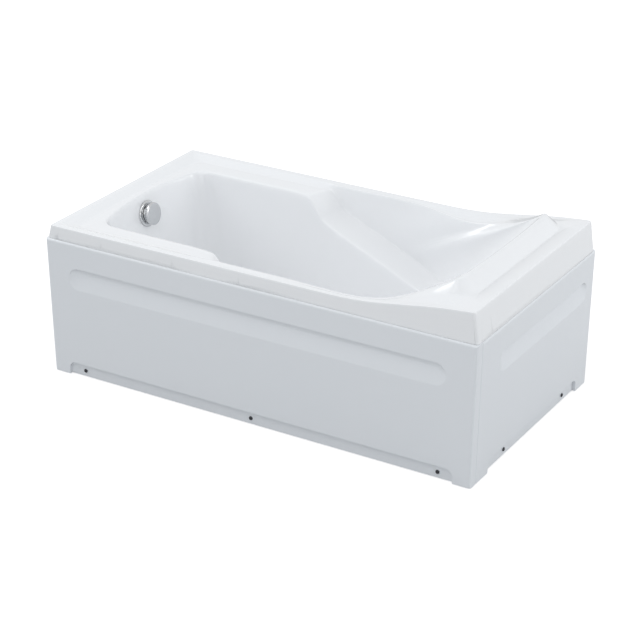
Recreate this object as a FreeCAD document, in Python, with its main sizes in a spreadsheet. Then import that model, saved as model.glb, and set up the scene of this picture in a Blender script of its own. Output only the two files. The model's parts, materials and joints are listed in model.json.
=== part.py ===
import FreeCAD, Part
import math
import os

import Sketcher

# A skirted acrylic bathtub. Millimetres. The origin is the centre of the footprint on the floor,
# +X points to the head end, +Y to the wall behind the bath, +Z up.

Vector = FreeCAD.Vector

# ---------------------------------------------------------------- driving sizes

SIZES = {
    # overall
    "tub_length": 1500,
    "tub_width": 800,
    "deck_height": 491,
    "joint_drop": 30.5,  # from the deck down to the lower edge of the shell's apron
    "shell_wall": 5,
    # rim
    "rim_rise": 13,  # from the deck up to the top of the lip at the foot end
    "head_rise": 53,  # how much higher the lip is at the head end
    "rise_start": 450,  # from the head end to where the lip begins to rise
    "apron_inset": 6,  # lower edge of the apron behind the nominal sides
    "apron_flare": 6,  # how far its lower edge stands past the nominal ends
    "lip_inset": 7,  # upper edge of the apron behind the nominal sides
    "rim_corner": 8,
    "lip_width": 21,
    "deck_slope": 32,  # width of the slope from the lip to the deck
    "deck_width": 121,  # from the lip's outer edge to the basin, along the sides
    "end_deck_width": 76,  # the same at the foot end
    # arm ledges and scoop
    "ledge_outer": 50,  # outer line of the arm ledges from the nominal side
    "scoop_lip": 42,  # inner edge of the lip beside the ledges, from the nominal side
    "step_start": 538,  # from the foot end to where the deck drops to the ledge, at the basin side
    "step_run": 62,
    "step_skew": 42,  # the outer end of the drop lies this much nearer the head
    "ledge_drop": 84,
    "ledge_slope": 23.8,  # degrees
    "ledge_tilt": 19,  # the ledge's outer line is this much higher
    "lip_low": 3,  # from the deck down to the lowest stretch of the scoop's edge
    "taper_width": 102,  # how far the scoop narrows towards the headrest
    # back and headrest
    "crest_rise": 106,  # from the deck up to the top of the headrest
    "crest_inset": 110,  # from the head end
    "crest_bow": 6,
    "crest_half": 262,
    "crest_width": 10,
    "crest_fall": 38,  # run of the ridge's steep outer face
    "valley_rise": 63,
    "head_lip": 43,
    "back_slope": 55,  # degrees
    # basin
    "floor_height": 125,
    "basin_left": 145,  # floor's foot edge from the nominal end
    "wall_lean": 30,  # how far the side walls lean in from deck to floor
    "end_bow": 26,
    "floor_round": 74,
    # where each line starts to bend round the head end, before its furthest point
    "lip_bend": 60,
    "valley_bend": 70,
    "valley_side": 150,
    "outer_ledge_bend": 215,
    "inner_ledge_bend": 150,
    "ledge_flat": 130,
    "floor_bend": 120,
    "floor_flat_bend": 90,
    # skirts
    "skirt_wall": 3,
    "skirt_bottom": 2,
    "joint_gap": 0.5,  # between a skirt's top flange and the apron
    "seam": 1,  # between the two skirts at the corner
    "skirt_edge": 8,  # rounding of the outer edges
    "skirt_flare": 9,  # how far the skirts' tops stand past the nominal ends
    "skirt_return": 30,  # how far the front skirt wraps round its two ends
    "recess_depth": 11,
    "recess_top": 378,
    "recess_bottom": 305,
    "recess_step": 4,  # run of the recess's steep upper side
    "recess_ramp": 56,  # run of its soft lower side
    "recess_over": 0.4,  # how far its cut runs out past the face, as a share of its depth
    "recess_left": 75,  # recess from the front skirt's foot end
    "recess_right": 88,  # and from the corner
    "end_recess_front": 147,  # end skirt's recess from the front face
    "end_recess_back": 50,
    "kick_height": 46,
    "kick_depth": 11,
    "kick_round": 22,
    "kick_side": 60,  # width of the front skirt's feet
    "end_kick_front": 110,
    "end_kick_back": 78,
    # skirt fasteners
    "screw_height": 22,
    "screw_left": 116,  # from the foot end
    "screw_middle": 743,
    "screw_right": 112,  # from the head end
    "end_screw_front": 231,  # from the front face
    "end_screw_back": 639,
    "screw_radius": 2.5,
    "screw_head_radius": 6.5,
    "screw_head_height": 3.6,
    "screw_length": 14,
    "washer_radius": 8.5,
    "washer_height": 1.4,
    "hole_clearance": 0.4,
    "bracket_wall": 3,
    "bracket_width": 40,
    "bracket_drop": 4,  # from the bottom rail's top down to the bracket's
    "clip_nut_side": 14,
    "clip_nut_height": 4,
    "clip_wall": 1.5,
    "clip_width": 40,
    "clip_reach": 8,
    "clip_gap": 0.3,
    "clip_drop": 2,  # from the rim rail's top down to the clip's
    # frame
    "rail_side": 25,
    "rail_wall": 1.5,
    "rim_rail_side": 18,
    "rim_rail_drop": 3,  # from the deck down to the top of the rim rails
    "board_thickness": 15,
    "board_left": 165,  # from the nominal foot end
    "board_right": 995,
    "board_half": 190,
    "board_hole_clearance": 8,  # round the waste's flange
    "cross_foot": 210,  # from the foot end to the cross bars' middles
    "cross_middle": 620,
    "cross_back": 965,
    "cross_head": 190,  # from the head end
    "board_screw_y": 150,
    "board_screw_radius": 2.5,
    "board_screw_head": 5,
    "board_screw_head_height": 3,
    "board_screw_length": 36,
    "upright_middle": 698,  # from the foot end to the middle uprights' head side
    "packer_first": 150,  # side packers, from the foot end
    "packer_second": 470,
    "packer_third": 680,
    "packer_width": 10,
    "packer_length": 50,
    "packer_gap": 0.5,
    "head_packer_gap": 2,
    "head_block_y": 240,
    # levelling feet
    "foot_inset": 63,  # from the frame's outer face
    "foot_rod_radius": 5,
    "foot_rod_top": 94,
    "thread_gap": 0.05,
    "foot_pad_radius": 25,
    "foot_pad_height": 16,
    "foot_pad_edge": 4,
    "foot_pad_neck": 6,  # wall round the rod
    "foot_end_gap": 0.1,
    "foot_grip_gap": 1,
    "foot_socket_bottom": 6,
    "foot_hex": 16,  # across flats
    "foot_hex_height": 8,
    "weld_nut_height": 10,
    "lock_nut_height": 8,
    "foot_nut": 17,  # across flats
    # waste
    "waste_inset": 300,  # from the foot end
    "waste_tail_radius": 22,
    "waste_tail_bore": 19,
    "waste_hole_clearance": 2,
    "waste_flange_radius": 35,
    "waste_flange_height": 2.5,
    "waste_flange_bevel": 2,
    "waste_throat_width": 3,
    "waste_throat_depth": 4,
    "gasket_height": 1.2,
    "gasket_margin": 1,  # how far a gasket's edge stays inside its flange
    "gasket_fit": 0.3,
    "body_gasket_height": 3,
    "body_gasket_margin": 2,
    "cup_radius": 30,
    "cup_wall": 3,
    "cup_flange_radius": 38,
    "cup_flange_height": 5,
    "cup_bottom": 49,
    "cup_collar": 22,  # depth of the threaded collar
    "waste_tail_length": 34,
    "outlet_radius": 20,
    "outlet_bottom": 12,
    "outlet_stop": 8,  # depth of the shoulder that a drain pipe stops against
    "outlet_stop_width": 3,
    "pipe_wall": 2.5,
    "guide_radius": 7,
    "guide_height": 4,
    "guide_lift": 4,  # from the tail's end up to the guide
    "spoke_width": 3,
    "spoke_root": 1,  # how far the spokes run into the wall
    # plug
    "plug_radius": 30,
    "plug_height": 4,
    "plug_edge": 1.5,
    "plug_bevel": 4,
    "plug_bevel_drop": 0.8,
    "plug_crown": 0.5,
    "seal_radius": 27,
    "seal_bore": 17,
    "seal_height": 2,
    "seal_gap": 0.3,
    "stem_radius": 4,
    "plug_lift": 12,
    "lever_arm": 16,
    "lever_swing": 44,  # degrees
    "lever_pivot_height": 76,
    "lever_half": 3,
    "lever_thickness": 6,
    "lever_gap": 0.4,
    "lever_pin_radius": 2,
    "lever_pin_inset": 6,
    "lever_hub_wall": 1.5,
    "lever_tail": 9,
    # overflow
    "overflow_drop": 67,  # from the deck down to the knob's middle on the wall
    "rosette_radius": 44,
    "rosette_inner": 29,
    "rosette_height": 6,
    "rosette_gap": 1.8,
    "neck_radius": 26.5,
    "neck_bore": 23.5,
    "neck_length": 24,
    "overflow_hole_clearance": 1.5,
    "overflow_gasket_radius": 40,
    "overflow_gasket_height": 2,
    "overflow_cup_radius": 32,
    "overflow_cup_wall": 3,
    "overflow_cup_depth": 42,
    "knob_radius": 37.5,
    "knob_drum_radius": 30,
    "knob_back": 8.5,
    "knob_disc_back": 21,
    "knob_front": 31,
    "knob_wall": 3,
    "knob_edge": 3,
    "spindle_radius": 5,
    "drum_radius": 14,
    "drum_height": 8,
    "drum_back": 34,
    # overflow pipe and cable
    "pipe_radius": 15,
    "pipe_fit": 0.1,
    "pipe_insertion": 12,  # how far the pipe's ends stand in their sockets
    "socket_wall": 3,
    "pipe_height": 61,  # height of its level run
    "pipe_bend": 45,
    "slip_nut_radius": 20.6,
    "slip_nut_height": 14,
    "slip_nut_fit": 0.1,
    "overflow_port_length": 30,
    "cup_port_length": 24,
    "cable_radius": 3,
    "cable_y": 24.5,
    "cable_height": 70,
    "cable_bend": 80,
    "cable_boss": 5.5,
    "cable_boss_length": 16,
    "cable_boss_drop": 2,  # how far the upper boss reaches below the overflow body
}


# ---------------------------------------------------------------- the document and its sheet

doc = FreeCAD.newDocument("bathtub")
sheet = doc.addObject("Spreadsheet::Sheet", "Sizes")


class Size:
    """A number, together with the sheet expression that gives it."""

    def __init__(self, value, text):
        self.value = value
        self.text = text

    @staticmethod
    def of(other):
        return other if isinstance(other, Size) else Size(float(other), str(float(other)))

    def __add__(self, other):
        other = Size.of(other)
        return Size(self.value + other.value, f"({self.text} + {other.text})")

    def __sub__(self, other):
        other = Size.of(other)
        return Size(self.value - other.value, f"({self.text} - {other.text})")

    def __mul__(self, other):
        other = Size.of(other)
        return Size(self.value * other.value, f"({self.text} * {other.text})")

    def __truediv__(self, other):
        other = Size.of(other)
        return Size(self.value / other.value, f"({self.text} / {other.text})")

    def __neg__(self):
        return self * -1

    __radd__ = __add__
    __rmul__ = __mul__

    def __rsub__(self, other):
        return Size.of(other) - self


class Sheet:
    """The driving sizes, each an attribute that is a Size bound to its cell."""


S = Sheet()
for row, (name, number) in enumerate(SIZES.items(), 1):
    sheet.set(f"A{row}", name.replace("_", " "))
    sheet.set(f"B{row}", str(number))
    sheet.setAlias(f"B{row}", name)
    setattr(S, name, Size(float(number), f"Sizes.{name}"))
doc.recompute()

ZERO = Size(0.0, "0")


def sine(angle):
    return Size(math.sin(math.radians(angle.value)), f"sin({angle.text})")


def cosine(angle):
    return Size(math.cos(math.radians(angle.value)), f"cos({angle.text})")


def angle_of(rise, run):
    """The angle, in degrees, whose tangent is rise over run."""
    return Size(math.degrees(math.atan(rise.value / run.value)), f"atan({rise.text} / {run.text}) / 1 deg")


def bind(thing, **sizes):
    """Ties properties of an object to sheet expressions."""
    for prop, size in sizes.items():
        size = Size.of(size)
        setattr(thing, prop, size.value)
        thing.setExpression(prop, size.text)


TURNS = {
    "z": (Vector(0, 0, 1), 0),
    "x": (Vector(0, 1, 0), 90),
    "-x": (Vector(0, 1, 0), -90),
    "y": (Vector(1, 0, 0), -90),
    "-y": (Vector(1, 0, 0), 90),
}


def place(thing, corner, axis="z", lean=None):
    """Puts an object at a point, with its own Z along a row axis, or leaning from Z towards X."""
    direction, angle = TURNS[axis]
    thing.Placement = FreeCAD.Placement(Vector(0, 0, 0), FreeCAD.Rotation(direction, angle))
    if lean is not None:
        thing.Placement = FreeCAD.Placement(Vector(0, 0, 0), FreeCAD.Rotation(Vector(0, 1, 0), lean.value))
        thing.setExpression("Placement.Rotation.Angle", lean.text)
    for letter, size in zip("xyz", corner):
        thing.setExpression(f"Placement.Base.{letter}", Size.of(size).text)
    return thing


def box(name, corner, sides):
    thing = doc.addObject("Part::Box", name)
    bind(thing, Length=sides[0], Width=sides[1], Height=sides[2])
    return place(thing, corner)


def cylinder(name, radius, height, foot, axis="z", lean=None):
    thing = doc.addObject("Part::Cylinder", name)
    bind(thing, Radius=radius, Height=height)
    return place(thing, foot, axis, lean)


def join(name, *pieces):
    thing = doc.addObject("Part::MultiFuse", name)
    thing.Shapes = list(pieces)
    return thing


def cut(name, base, *tools):
    thing = doc.addObject("Part::Cut", name)
    thing.Base = base
    thing.Tool = tools[0] if len(tools) == 1 else join(name + "_tools", *tools)
    return thing


def group(name, pieces):
    """Identical pieces, each still a solid of its own, under one name."""
    thing = doc.addObject("Part::Compound", name)
    thing.Links = list(pieces)
    return thing


def ring(name, radius, bore, height, foot, axis="z", lean=None):
    outer = cylinder(name + "_outside", radius, height, foot, axis, lean)
    inner = cylinder(name + "_bore", bore, height, foot, axis, lean)
    return cut(name, outer, inner)


def hexagon(name, flats, height, foot):
    thing = doc.addObject("Part::Prism", name)
    thing.Polygon = 6
    bind(thing, Circumradius=Size.of(flats) / math.sqrt(3), Height=height)
    return place(thing, foot)


def square_tube(name, corner, sides, along, wall):
    """A square tube whose hollow runs along x, y or z."""
    outer = box(name + "_outside", corner, sides)
    start = [c if a == along else c + wall for a, c in zip("xyz", corner)]
    inside = [d if a == along else d - 2 * wall for a, d in zip("xyz", sides)]
    return cut(name, outer, box(name + "_hollow", start, inside))


def turned(name, outline):
    """A body turned about its own Z from a closed outline of (radius, height) corners."""
    body = doc.addObject("PartDesign::Body", name)
    sketch = body.newObject("Sketcher::SketchObject", name + "_profile")
    plane = [p for p in body.Origin.OriginFeatures if p.Role == "XZ_Plane"][0]
    sketch.AttachmentSupport = [(plane, "")]
    sketch.MapMode = "FlatFace"
    corners = [(Size.of(r), Size.of(z)) for r, z in outline]
    count = len(corners)
    for i in range(count):
        (r0, z0), (r1, z1) = corners[i], corners[(i + 1) % count]
        start, end = Vector(r0.value, z0.value, 0), Vector(r1.value, z1.value, 0)
        sketch.addGeometry(Part.LineSegment(start, end), False)
    for i in range(count):
        sketch.addConstraint(Sketcher.Constraint("Coincident", i, 2, (i + 1) % count, 1))
    for i, corner in enumerate(corners):
        for kind, size in zip(("DistanceX", "DistanceY"), corner):
            index = sketch.addConstraint(Sketcher.Constraint(kind, -1, 1, i, 1, size.value))
            sketch.setExpression(f"Constraints[{index}]", size.text)
    turn = body.newObject("PartDesign::Revolution", name + "_turn")
    turn.Profile = sketch
    turn.ReferenceAxis = (sketch, ["V_Axis"])
    turn.Angle = 360
    sketch.Visibility = False
    return body


def stadium(name, y, left, right, low, high):
    """A sketch across Y: two level lines joined by half circles that end at left and right."""
    sketch = doc.addObject("Sketcher::SketchObject", name)
    sketch.Placement = FreeCAD.Placement(Vector(0, 0, 0), FreeCAD.Rotation(Vector(1, 0, 0), 90))
    sketch.setExpression("Placement.Base.y", Size.of(y).text)
    radius = (high - low) / 2
    middle = (high + low) / 2
    start, end = left + radius, right - radius
    r = radius.value
    sketch.addGeometry(Part.LineSegment(Vector(start.value, high.value, 0), Vector(end.value, high.value, 0)))
    sketch.addGeometry(Part.LineSegment(Vector(start.value, low.value, 0), Vector(end.value, low.value, 0)))
    for x, turn in ((start.value, math.pi / 2), (end.value, -math.pi / 2)):
        circle = Part.Circle(Vector(x, middle.value, 0), Vector(0, 0, 1), r)
        sketch.addGeometry(Part.ArcOfCircle(circle, turn, turn + math.pi))
    for first, corner, second, other in ((2, 1, 0, 1), (2, 2, 1, 1), (3, 2, 0, 2), (3, 1, 1, 2)):
        sketch.addConstraint(Sketcher.Constraint("Coincident", first, corner, second, other))
    spots = [(0, 1, start, high), (0, 2, end, high), (1, 1, start, low), (1, 2, end, low)]
    for line, corner, x, z in spots:
        for kind, size in (("DistanceX", x), ("DistanceY", z)):
            index = sketch.addConstraint(Sketcher.Constraint(kind, -1, 1, line, corner, size.value))
            sketch.setExpression(f"Constraints[{index}]", size.text)
    for arc, x in ((2, start), (3, end)):
        index = sketch.addConstraint(Sketcher.Constraint("DistanceX", -1, 1, arc, 3, x.value))
        sketch.setExpression(f"Constraints[{index}]", x.text)
    return sketch


def rounded(body, radius, chosen):
    """Rounds the edges of a body's last feature that chosen() picks, by a size of the sheet."""
    doc.recompute()
    base = body.Tip
    names = [f"Edge{i}" for i, edge in enumerate(base.Shape.Edges, 1) if chosen(edge)]
    fillet = body.newObject("PartDesign::Fillet", body.Name + "_rounding")
    fillet.Base = (base, names)
    bind(fillet, Radius=radius)
    return body


KEPT = []


def keep(label, thing):
    """Marks an object as a finished piece, under its own name."""
    thing.Label = label
    KEPT.append(thing)
    return thing


# ---------------------------------------------------------------- forms shared by the shell


def smooth(value, start, end):
    """0 before start, 1 after end, and an S-curve between them."""
    share = min(max((value - start) / (end - start), 0.0), 1.0)
    return share * share * (3 - 2 * share)


def blend(share, first, second):
    return first + (second - first) * share


# ---------------------------------------------------------------- the shell's rings

# from where the lip begins to rise: how far before it the scoop's edge leaves the rim, how far after
# it the edge starts to climb, and how late the climb comes
SCOOP_DROP, SCOOP_CLIMB, SCOOP_POWER = 170, 40, 1.7
# the scoop narrows in two stretches, which start and end this far from the rise's start, or for the
# last from the crest, and take these shares of the width
FIRST_TAPER, FIRST_SHARE = (-160, 110), 0.32
SECOND_TAPER, SECOND_SHARE = (125, -20), 0.68
# how far the deck's drop is eased past its ends, and how far the ledge may stand over its start
DROP_EASE, LEDGE_CAP = 12, 12
# share of the wall's lean that the basin's upper edge follows as the ledge drops
LEAN_SHARE = 0.4
# how far the valley beside the crest has left the rim for the scoop's edge
VALLEY_SHARE = 0.35
# where the ridge and the crest start to bend: before the crest's end, and inside its half width
RIDGE_BEND, CREST_BEND = (14, 12), (24, 30)
# share of the bow that the line outside a bowed one has
BOW_SHARE = 0.3
# how far before the drop the deck's outer line begins to widen
DECK_WIDEN = 60
# share of the floor's rounding by which its flat lies inside its edge
FLAT_SHARE = 0.8
# corner radii at the foot end, and what the apron's lower edge has over the rim's corner
DECK_CORNER, BASIN_CORNER, FLOOR_CORNER, FLAT_CORNER, APRON_CORNER = 30, 58, 100, 60, 4
# how far the rounding of a line reaches: outwards and inwards
EDGE_ROUND, VALLEY_ROUND, RIDGE_ROUND = (9, 9), (8, 10), (12, 12)
CREST_ROUND, DECK_ROUND, LEDGE_ROUND = (20, 20), (48, 6), (20, 20)
FLOOR_INNER = 0.7  # the floor's inward rounding, as a share of its outward one


class Ring:
    """One closed line round the basin. Half of it is worked out, and the other half mirrors it."""

    END_POINTS, CORNER_POINTS, SIDE_POINTS, STEP_POINTS, TAIL_POINTS, BEND_POINTS = 5, 6, 6, 8, 10, 10

    def __init__(self, left, bow, corner, half, step, bend, right, height, right_bow=0.0):
        self.left = left
        self.bow = bow
        self.corner = corner
        self.half = half
        self.step = step
        self.bend = bend
        self.right = right
        self.right_bow = right_bow
        self.height = height

    def half_points(self):
        """Points from the middle of the foot end, along the front, to the middle of the head end."""
        points = []
        half_left = self.half(self.left)
        straight = half_left - self.corner
        for i in range(self.END_POINTS):
            share = i / self.END_POINTS
            points.append((self.left + self.bow * share**2, straight * share, 0.0))
        for i in range(self.CORNER_POINTS):
            turn = math.pi / 2 * i / self.CORNER_POINTS
            x = self.left + self.bow + self.corner * (1 - math.cos(turn))
            points.append((x, straight + self.corner * math.sin(turn), 0.0))
        first = self.left + self.bow + self.corner
        stops = [
            (first, self.step[0], self.SIDE_POINTS),
            (self.step[0], self.step[1], self.STEP_POINTS),
            (self.step[1], self.bend[0], self.TAIL_POINTS),
        ]
        for begin, end, count in stops:
            for i in range(count):
                x = blend(i / count, begin, end)
                points.append((x, self.half(x), 0.0))
        bend_x, flat = self.bend
        half_bend = self.half(bend_x)
        reach = self.right - self.right_bow - bend_x
        for i in range(self.BEND_POINTS):
            share = i / self.BEND_POINTS
            turn = math.pi / 2 * share
            x = bend_x + reach * math.sin(turn)
            y = flat + (half_bend - flat) * math.cos(turn)
            points.append((x, y, share))
        for i in range(self.END_POINTS + 1):
            share = 1 - i / self.END_POINTS
            points.append((self.right - self.right_bow * share**2, flat * share, 1.0))
        return [Vector(x, -y, self.height(x, y, head)) for x, y, head in points]

    def points(self):
        front = self.half_points()
        back = [Vector(p.x, -p.y, p.z) for p in front[1:-1]]
        return front + back[::-1]


def with_places(s):
    """The sizes, with the shell's heights worked out from the deck and its places from the ends."""
    deck, half_length = s["deck_height"], s["tub_length"] / 2
    return dict(
        s,
        joint_height=deck - s["joint_drop"],
        rim_height=deck + s["rim_rise"],
        crest_height=deck + s["crest_rise"],
        valley_height=deck + s["valley_rise"],
        low_edge=deck - s["lip_low"],
        crest_x=half_length - s["crest_inset"],
        rise_x=half_length - s["rise_start"],
        step_x=s["step_start"] - half_length,
    )


def shell_rings(s):
    """The lines that shape the shell, from the apron's lower edge in to the flat of the floor."""
    s = with_places(s)
    half_length = s["tub_length"] / 2
    half_width = s["tub_width"] / 2
    back_tan = math.tan(math.radians(s["back_slope"]))
    ledge_tan = math.tan(math.radians(s["ledge_slope"]))

    def rim(x, y=0.0, head=0.0):
        return s["rim_height"] + s["head_rise"] * smooth(x, s["rise_x"], half_length)

    crest_end = s["crest_x"] - s["crest_bow"]
    rise_from = s["rise_x"] + SCOOP_CLIMB

    def scoop_edge(x):
        """Height of the edge between the lip and the scoop."""
        low = blend(smooth(x, s["rise_x"] - SCOOP_DROP, rise_from), s["rim_height"], s["low_edge"])
        share = max((x - rise_from) / (crest_end - rise_from), 0.0)
        return low + (s["crest_height"] - s["low_edge"]) * min(share, 1.0) ** SCOOP_POWER

    def straight(inset):
        return lambda x: half_width - inset

    def level(name):
        return lambda x, y, head: s[name]

    def lip_line(x):
        """Half width of the lip's inner edge: the deck's lip, then the scoop, then its taper."""
        inset = blend(smooth(x, step_low, step_high), s["lip_inset"] + s["lip_width"], s["scoop_lip"])
        first = smooth(x, s["rise_x"] + FIRST_TAPER[0], s["rise_x"] + FIRST_TAPER[1]) * FIRST_SHARE
        second = smooth(x, s["rise_x"] + SECOND_TAPER[0], crest_end + SECOND_TAPER[1]) * SECOND_SHARE
        return half_width - inset - s["taper_width"] * (first + second)

    step_low = s["step_x"]
    step_high = s["step_x"] + s["step_run"]
    outer_step = (step_low + s["step_skew"], step_high + s["step_skew"])
    inner_step = (step_low, step_high)
    middle_step = (step_low + s["step_skew"] / 2, step_high + s["step_skew"] / 2)

    def ledge(start, end, tilt):
        """Height of the deck, the drop from it, and the sloping arm ledge."""

        def height(x, y, head):
            low = s["deck_height"] - s["ledge_drop"] + tilt
            sloping = low - ledge_tan * (x - end)
            drop = smooth(x, start - DROP_EASE, end + DROP_EASE)
            return blend(drop, s["deck_height"], min(sloping, low + LEDGE_CAP))

        return height

    outer_ledge = ledge(*outer_step, s["ledge_tilt"])
    inner_ledge = ledge(*inner_step, 0.0)

    def meets_back(line):
        """Where the sloping back passes through a ledge line."""
        low, high = 0.0, s["crest_x"]
        for _ in range(60):
            middle = (low + high) / 2
            back = s["crest_height"] - back_tan * (s["crest_x"] - middle)
            low, high = (middle, high) if back < line(middle, 0.0, 1.0) else (low, middle)
        return low

    outer_end = meets_back(outer_ledge)
    inner_end = meets_back(inner_ledge)
    floor_end = s["crest_x"] - (s["crest_height"] - s["floor_height"]) / back_tan
    wall_height = s["deck_height"] - s["floor_height"]

    def leaning(x):
        """Half width of the basin's upper edge, which follows the wall as the ledge drops."""
        depth = s["deck_height"] - inner_ledge(x, 0.0, 0.0)
        lean = LEAN_SHARE * s["wall_lean"] * depth / wall_height
        return half_width - s["lip_inset"] - s["deck_width"] - lean

    valley_x = s["crest_x"] + s["crest_width"] + s["crest_fall"]
    lip_x = half_length - s["lip_inset"] - s["head_lip"]

    def valley(x, y, head):
        side = blend(VALLEY_SHARE, rim(x), scoop_edge(x))
        return blend(head, side, s["valley_height"])

    def ridge(x, y, head):
        return blend(head, scoop_edge(x), s["crest_height"])

    share = (s["scoop_lip"] - s["lip_inset"]) / 4
    lip_share = s["lip_width"] / 4
    floor_half = half_width - s["lip_inset"] - s["deck_width"] - s["wall_lean"]
    floor_left = -half_length + s["basin_left"]
    flat_in = s["floor_round"] * FLAT_SHARE

    def between(steps):
        """Half width of a line on the lip, so many quarters of the way to the scoop's edge."""

        def half(x):
            edge = lip_line(x)
            outer = half_width - s["lip_inset"]
            return outer + (edge - outer) * steps / 4

        return half

    end_round = s["rim_corner"]
    hem_round = end_round + APRON_CORNER
    outer_left = -half_length + s["lip_inset"]
    bends = {
        "edge": (half_length - s["lip_inset"] - end_round, half_width - s["lip_inset"] - end_round),
        "lip": (lip_x - s["lip_bend"], half_width - s["lip_inset"] - share - s["lip_bend"]),
        "valley": (valley_x - s["valley_bend"], half_width - s["valley_side"]),
        "ridge": (crest_end - RIDGE_BEND[0], s["crest_half"] - RIDGE_BEND[1]),
        "crest": (crest_end - CREST_BEND[0], s["crest_half"] - CREST_BEND[1]),
    }
    rings = []
    rings.append(
        Ring(-half_length - s["apron_flare"], 0, hem_round, straight(s["apron_inset"]), middle_step,
             (half_length + s["apron_flare"] - hem_round, half_width - s["apron_inset"] - hem_round),
             half_length + s["apron_flare"], level("joint_height"))
    )
    rings.append(
        Ring(outer_left, 0, end_round, straight(s["lip_inset"]), middle_step, bends["edge"],
             half_length - s["lip_inset"], rim)
    )
    rings.append(
        Ring(outer_left + lip_share, 0, end_round, between(1), middle_step, bends["lip"], lip_x, rim)
    )
    rings.append(
        Ring(outer_left + 2 * lip_share, 0, end_round, between(2), middle_step, bends["valley"],
             valley_x, valley)
    )
    rings.append(
        Ring(outer_left + 3 * lip_share, 0, end_round, between(3), middle_step, bends["ridge"],
             s["crest_x"] + s["crest_width"], ridge, s["crest_bow"] * BOW_SHARE)
    )
    rings.append(
        Ring(outer_left + s["lip_width"], 0, end_round, lip_line, outer_step, bends["crest"],
             s["crest_x"], ridge, s["crest_bow"])
    )
    deck_left = outer_left + s["lip_width"] + s["deck_slope"]

    def deck_line(x):
        foot = half_width - s["lip_inset"] - s["lip_width"] - s["deck_slope"]
        return blend(smooth(x, step_low - DECK_WIDEN, step_high), foot, half_width - s["ledge_outer"])

    rings.append(
        Ring(deck_left, s["end_bow"] * BOW_SHARE, DECK_CORNER, deck_line, outer_step,
             (outer_end - s["outer_ledge_bend"], s["ledge_flat"]), outer_end,
             outer_ledge)
    )
    rings.append(
        Ring(outer_left + s["end_deck_width"], s["end_bow"], BASIN_CORNER, leaning, inner_step,
             (inner_end - s["inner_ledge_bend"], s["ledge_flat"]), inner_end, inner_ledge)
    )
    rings.append(
        Ring(floor_left, s["end_bow"], FLOOR_CORNER, lambda x: floor_half, inner_step,
             (floor_end - s["floor_bend"], s["floor_bend"]), floor_end, level("floor_height"))
    )
    rings.append(
        Ring(floor_left + flat_in, s["end_bow"], FLAT_CORNER, lambda x: floor_half - flat_in, inner_step,
             (floor_end - flat_in - s["floor_flat_bend"], s["floor_flat_bend"]), floor_end - flat_in,
             level("floor_height"))
    )
    rounds = [None, EDGE_ROUND, None, VALLEY_ROUND, RIDGE_ROUND, CREST_ROUND, DECK_ROUND, LEDGE_ROUND,
              (s["floor_round"], s["floor_round"] * FLOOR_INNER), None]
    return [ring.points() for ring in rings], rounds


def toward(start, end, distance):
    """A point on the way from start to end, never past 0.45 of it."""
    span = end - start
    return start + span * min(distance / max(span.Length, 1e-6), 0.45)


def with_rounds(rings, rounds):
    """Rows of control points: each line, with a guard row on either side of those that are rounded."""
    rows = []
    for k, ring in enumerate(rings):
        if rounds[k]:
            rows.append([toward(p, q, rounds[k][0]) for p, q in zip(ring, rings[k - 1])])
        rows.append(list(ring))
        if rounds[k]:
            rows.append([toward(p, q, rounds[k][1]) for p, q in zip(ring, rings[k + 1])])
    return rows


def underside(rings, wall):
    """The same lines, one wall below the upper face."""
    count = len(rings[0])
    normals = []
    for outer, inner in zip(rings, rings[1:]):
        row = []
        for j in range(count):
            along = outer[(j + 1) % count] - outer[j - 1] + inner[(j + 1) % count] - inner[j - 1]
            row.append(along.cross(inner[j] - outer[j]).normalize())
        normals.append(row)
    hem = [Vector(n.x, n.y, 0).normalize() for n in normals[0]]
    lines = [[p - n * wall for p, n in zip(rings[0], hem)]]
    for ring, before, after in zip(rings[1:], normals, normals[1:]):
        lines.append([p - (a + b) * (wall / (1 + a.dot(b))) for p, a, b in zip(ring, before, after)])
    lines.append([p - n * wall for p, n in zip(rings[-1], normals[-1])])
    return lines


def closed_surface(rows, degree):
    """A face through rows of control points, closed round each row."""
    surface = Part.BSplineSurface()
    spans = len(rows) - degree
    count = len(rows[0])
    surface.buildFromPolesMultsKnots(
        rows,
        [degree + 1] + [1] * (spans - 1) + [degree + 1],
        [1] * (count + 1),
        [float(i) for i in range(spans + 1)],
        [float(i) for i in range(count + 1)],
        False,
        True,
        degree,
        3,
    )
    return surface


# how many patches each of the shell's surfaces has round the basin, and across it
AROUND, ACROSS = 10, 3


def patches(surface):
    """The surface's faces: it is divided at its own knots, and no division passes through the overflow."""
    first, last, start, period = surface.bounds()
    steps = sorted({first + round((last - first) * i / ACROSS) for i in range(ACROSS + 1)})
    half = period / AROUND / 2
    faces = []
    for low, high in zip(steps, steps[1:]):
        for i in range(AROUND):
            patch = surface.copy()
            patch.segment(low, high, start + half * (2 * i + 1), start + half * (2 * i + 3))
            faces.append(patch.toShape())
    return faces


def edge_face(surface, side):
    """The flat face inside the first or last row of a surface."""
    bounds = surface.bounds()
    curve = surface.uIso(bounds[0] if side == "first" else bounds[1])
    return Part.Face(Part.Wire([curve.toShape()]))


def shell_solid(s):
    rings, rounds = shell_rings(s)
    upper = with_rounds(rings, rounds)
    under = with_rounds(underside(rings, s["shell_wall"]), rounds)
    top = closed_surface(upper, 3)
    bottom = closed_surface(under, 3)
    hem = closed_surface([upper[0], under[0]], 1)
    faces = patches(top) + patches(bottom) + patches(hem)
    faces += [edge_face(top, "last"), edge_face(bottom, "last")]
    shell = Part.makeShell(faces)
    shell.sewShape()
    solid = Part.Solid(shell if shell.ShapeType == "Shell" else shell.Shells[0])
    if solid.Volume < 0:
        solid.reverse()
    return solid


# ---------------------------------------------------------------- places shared by the pieces

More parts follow.
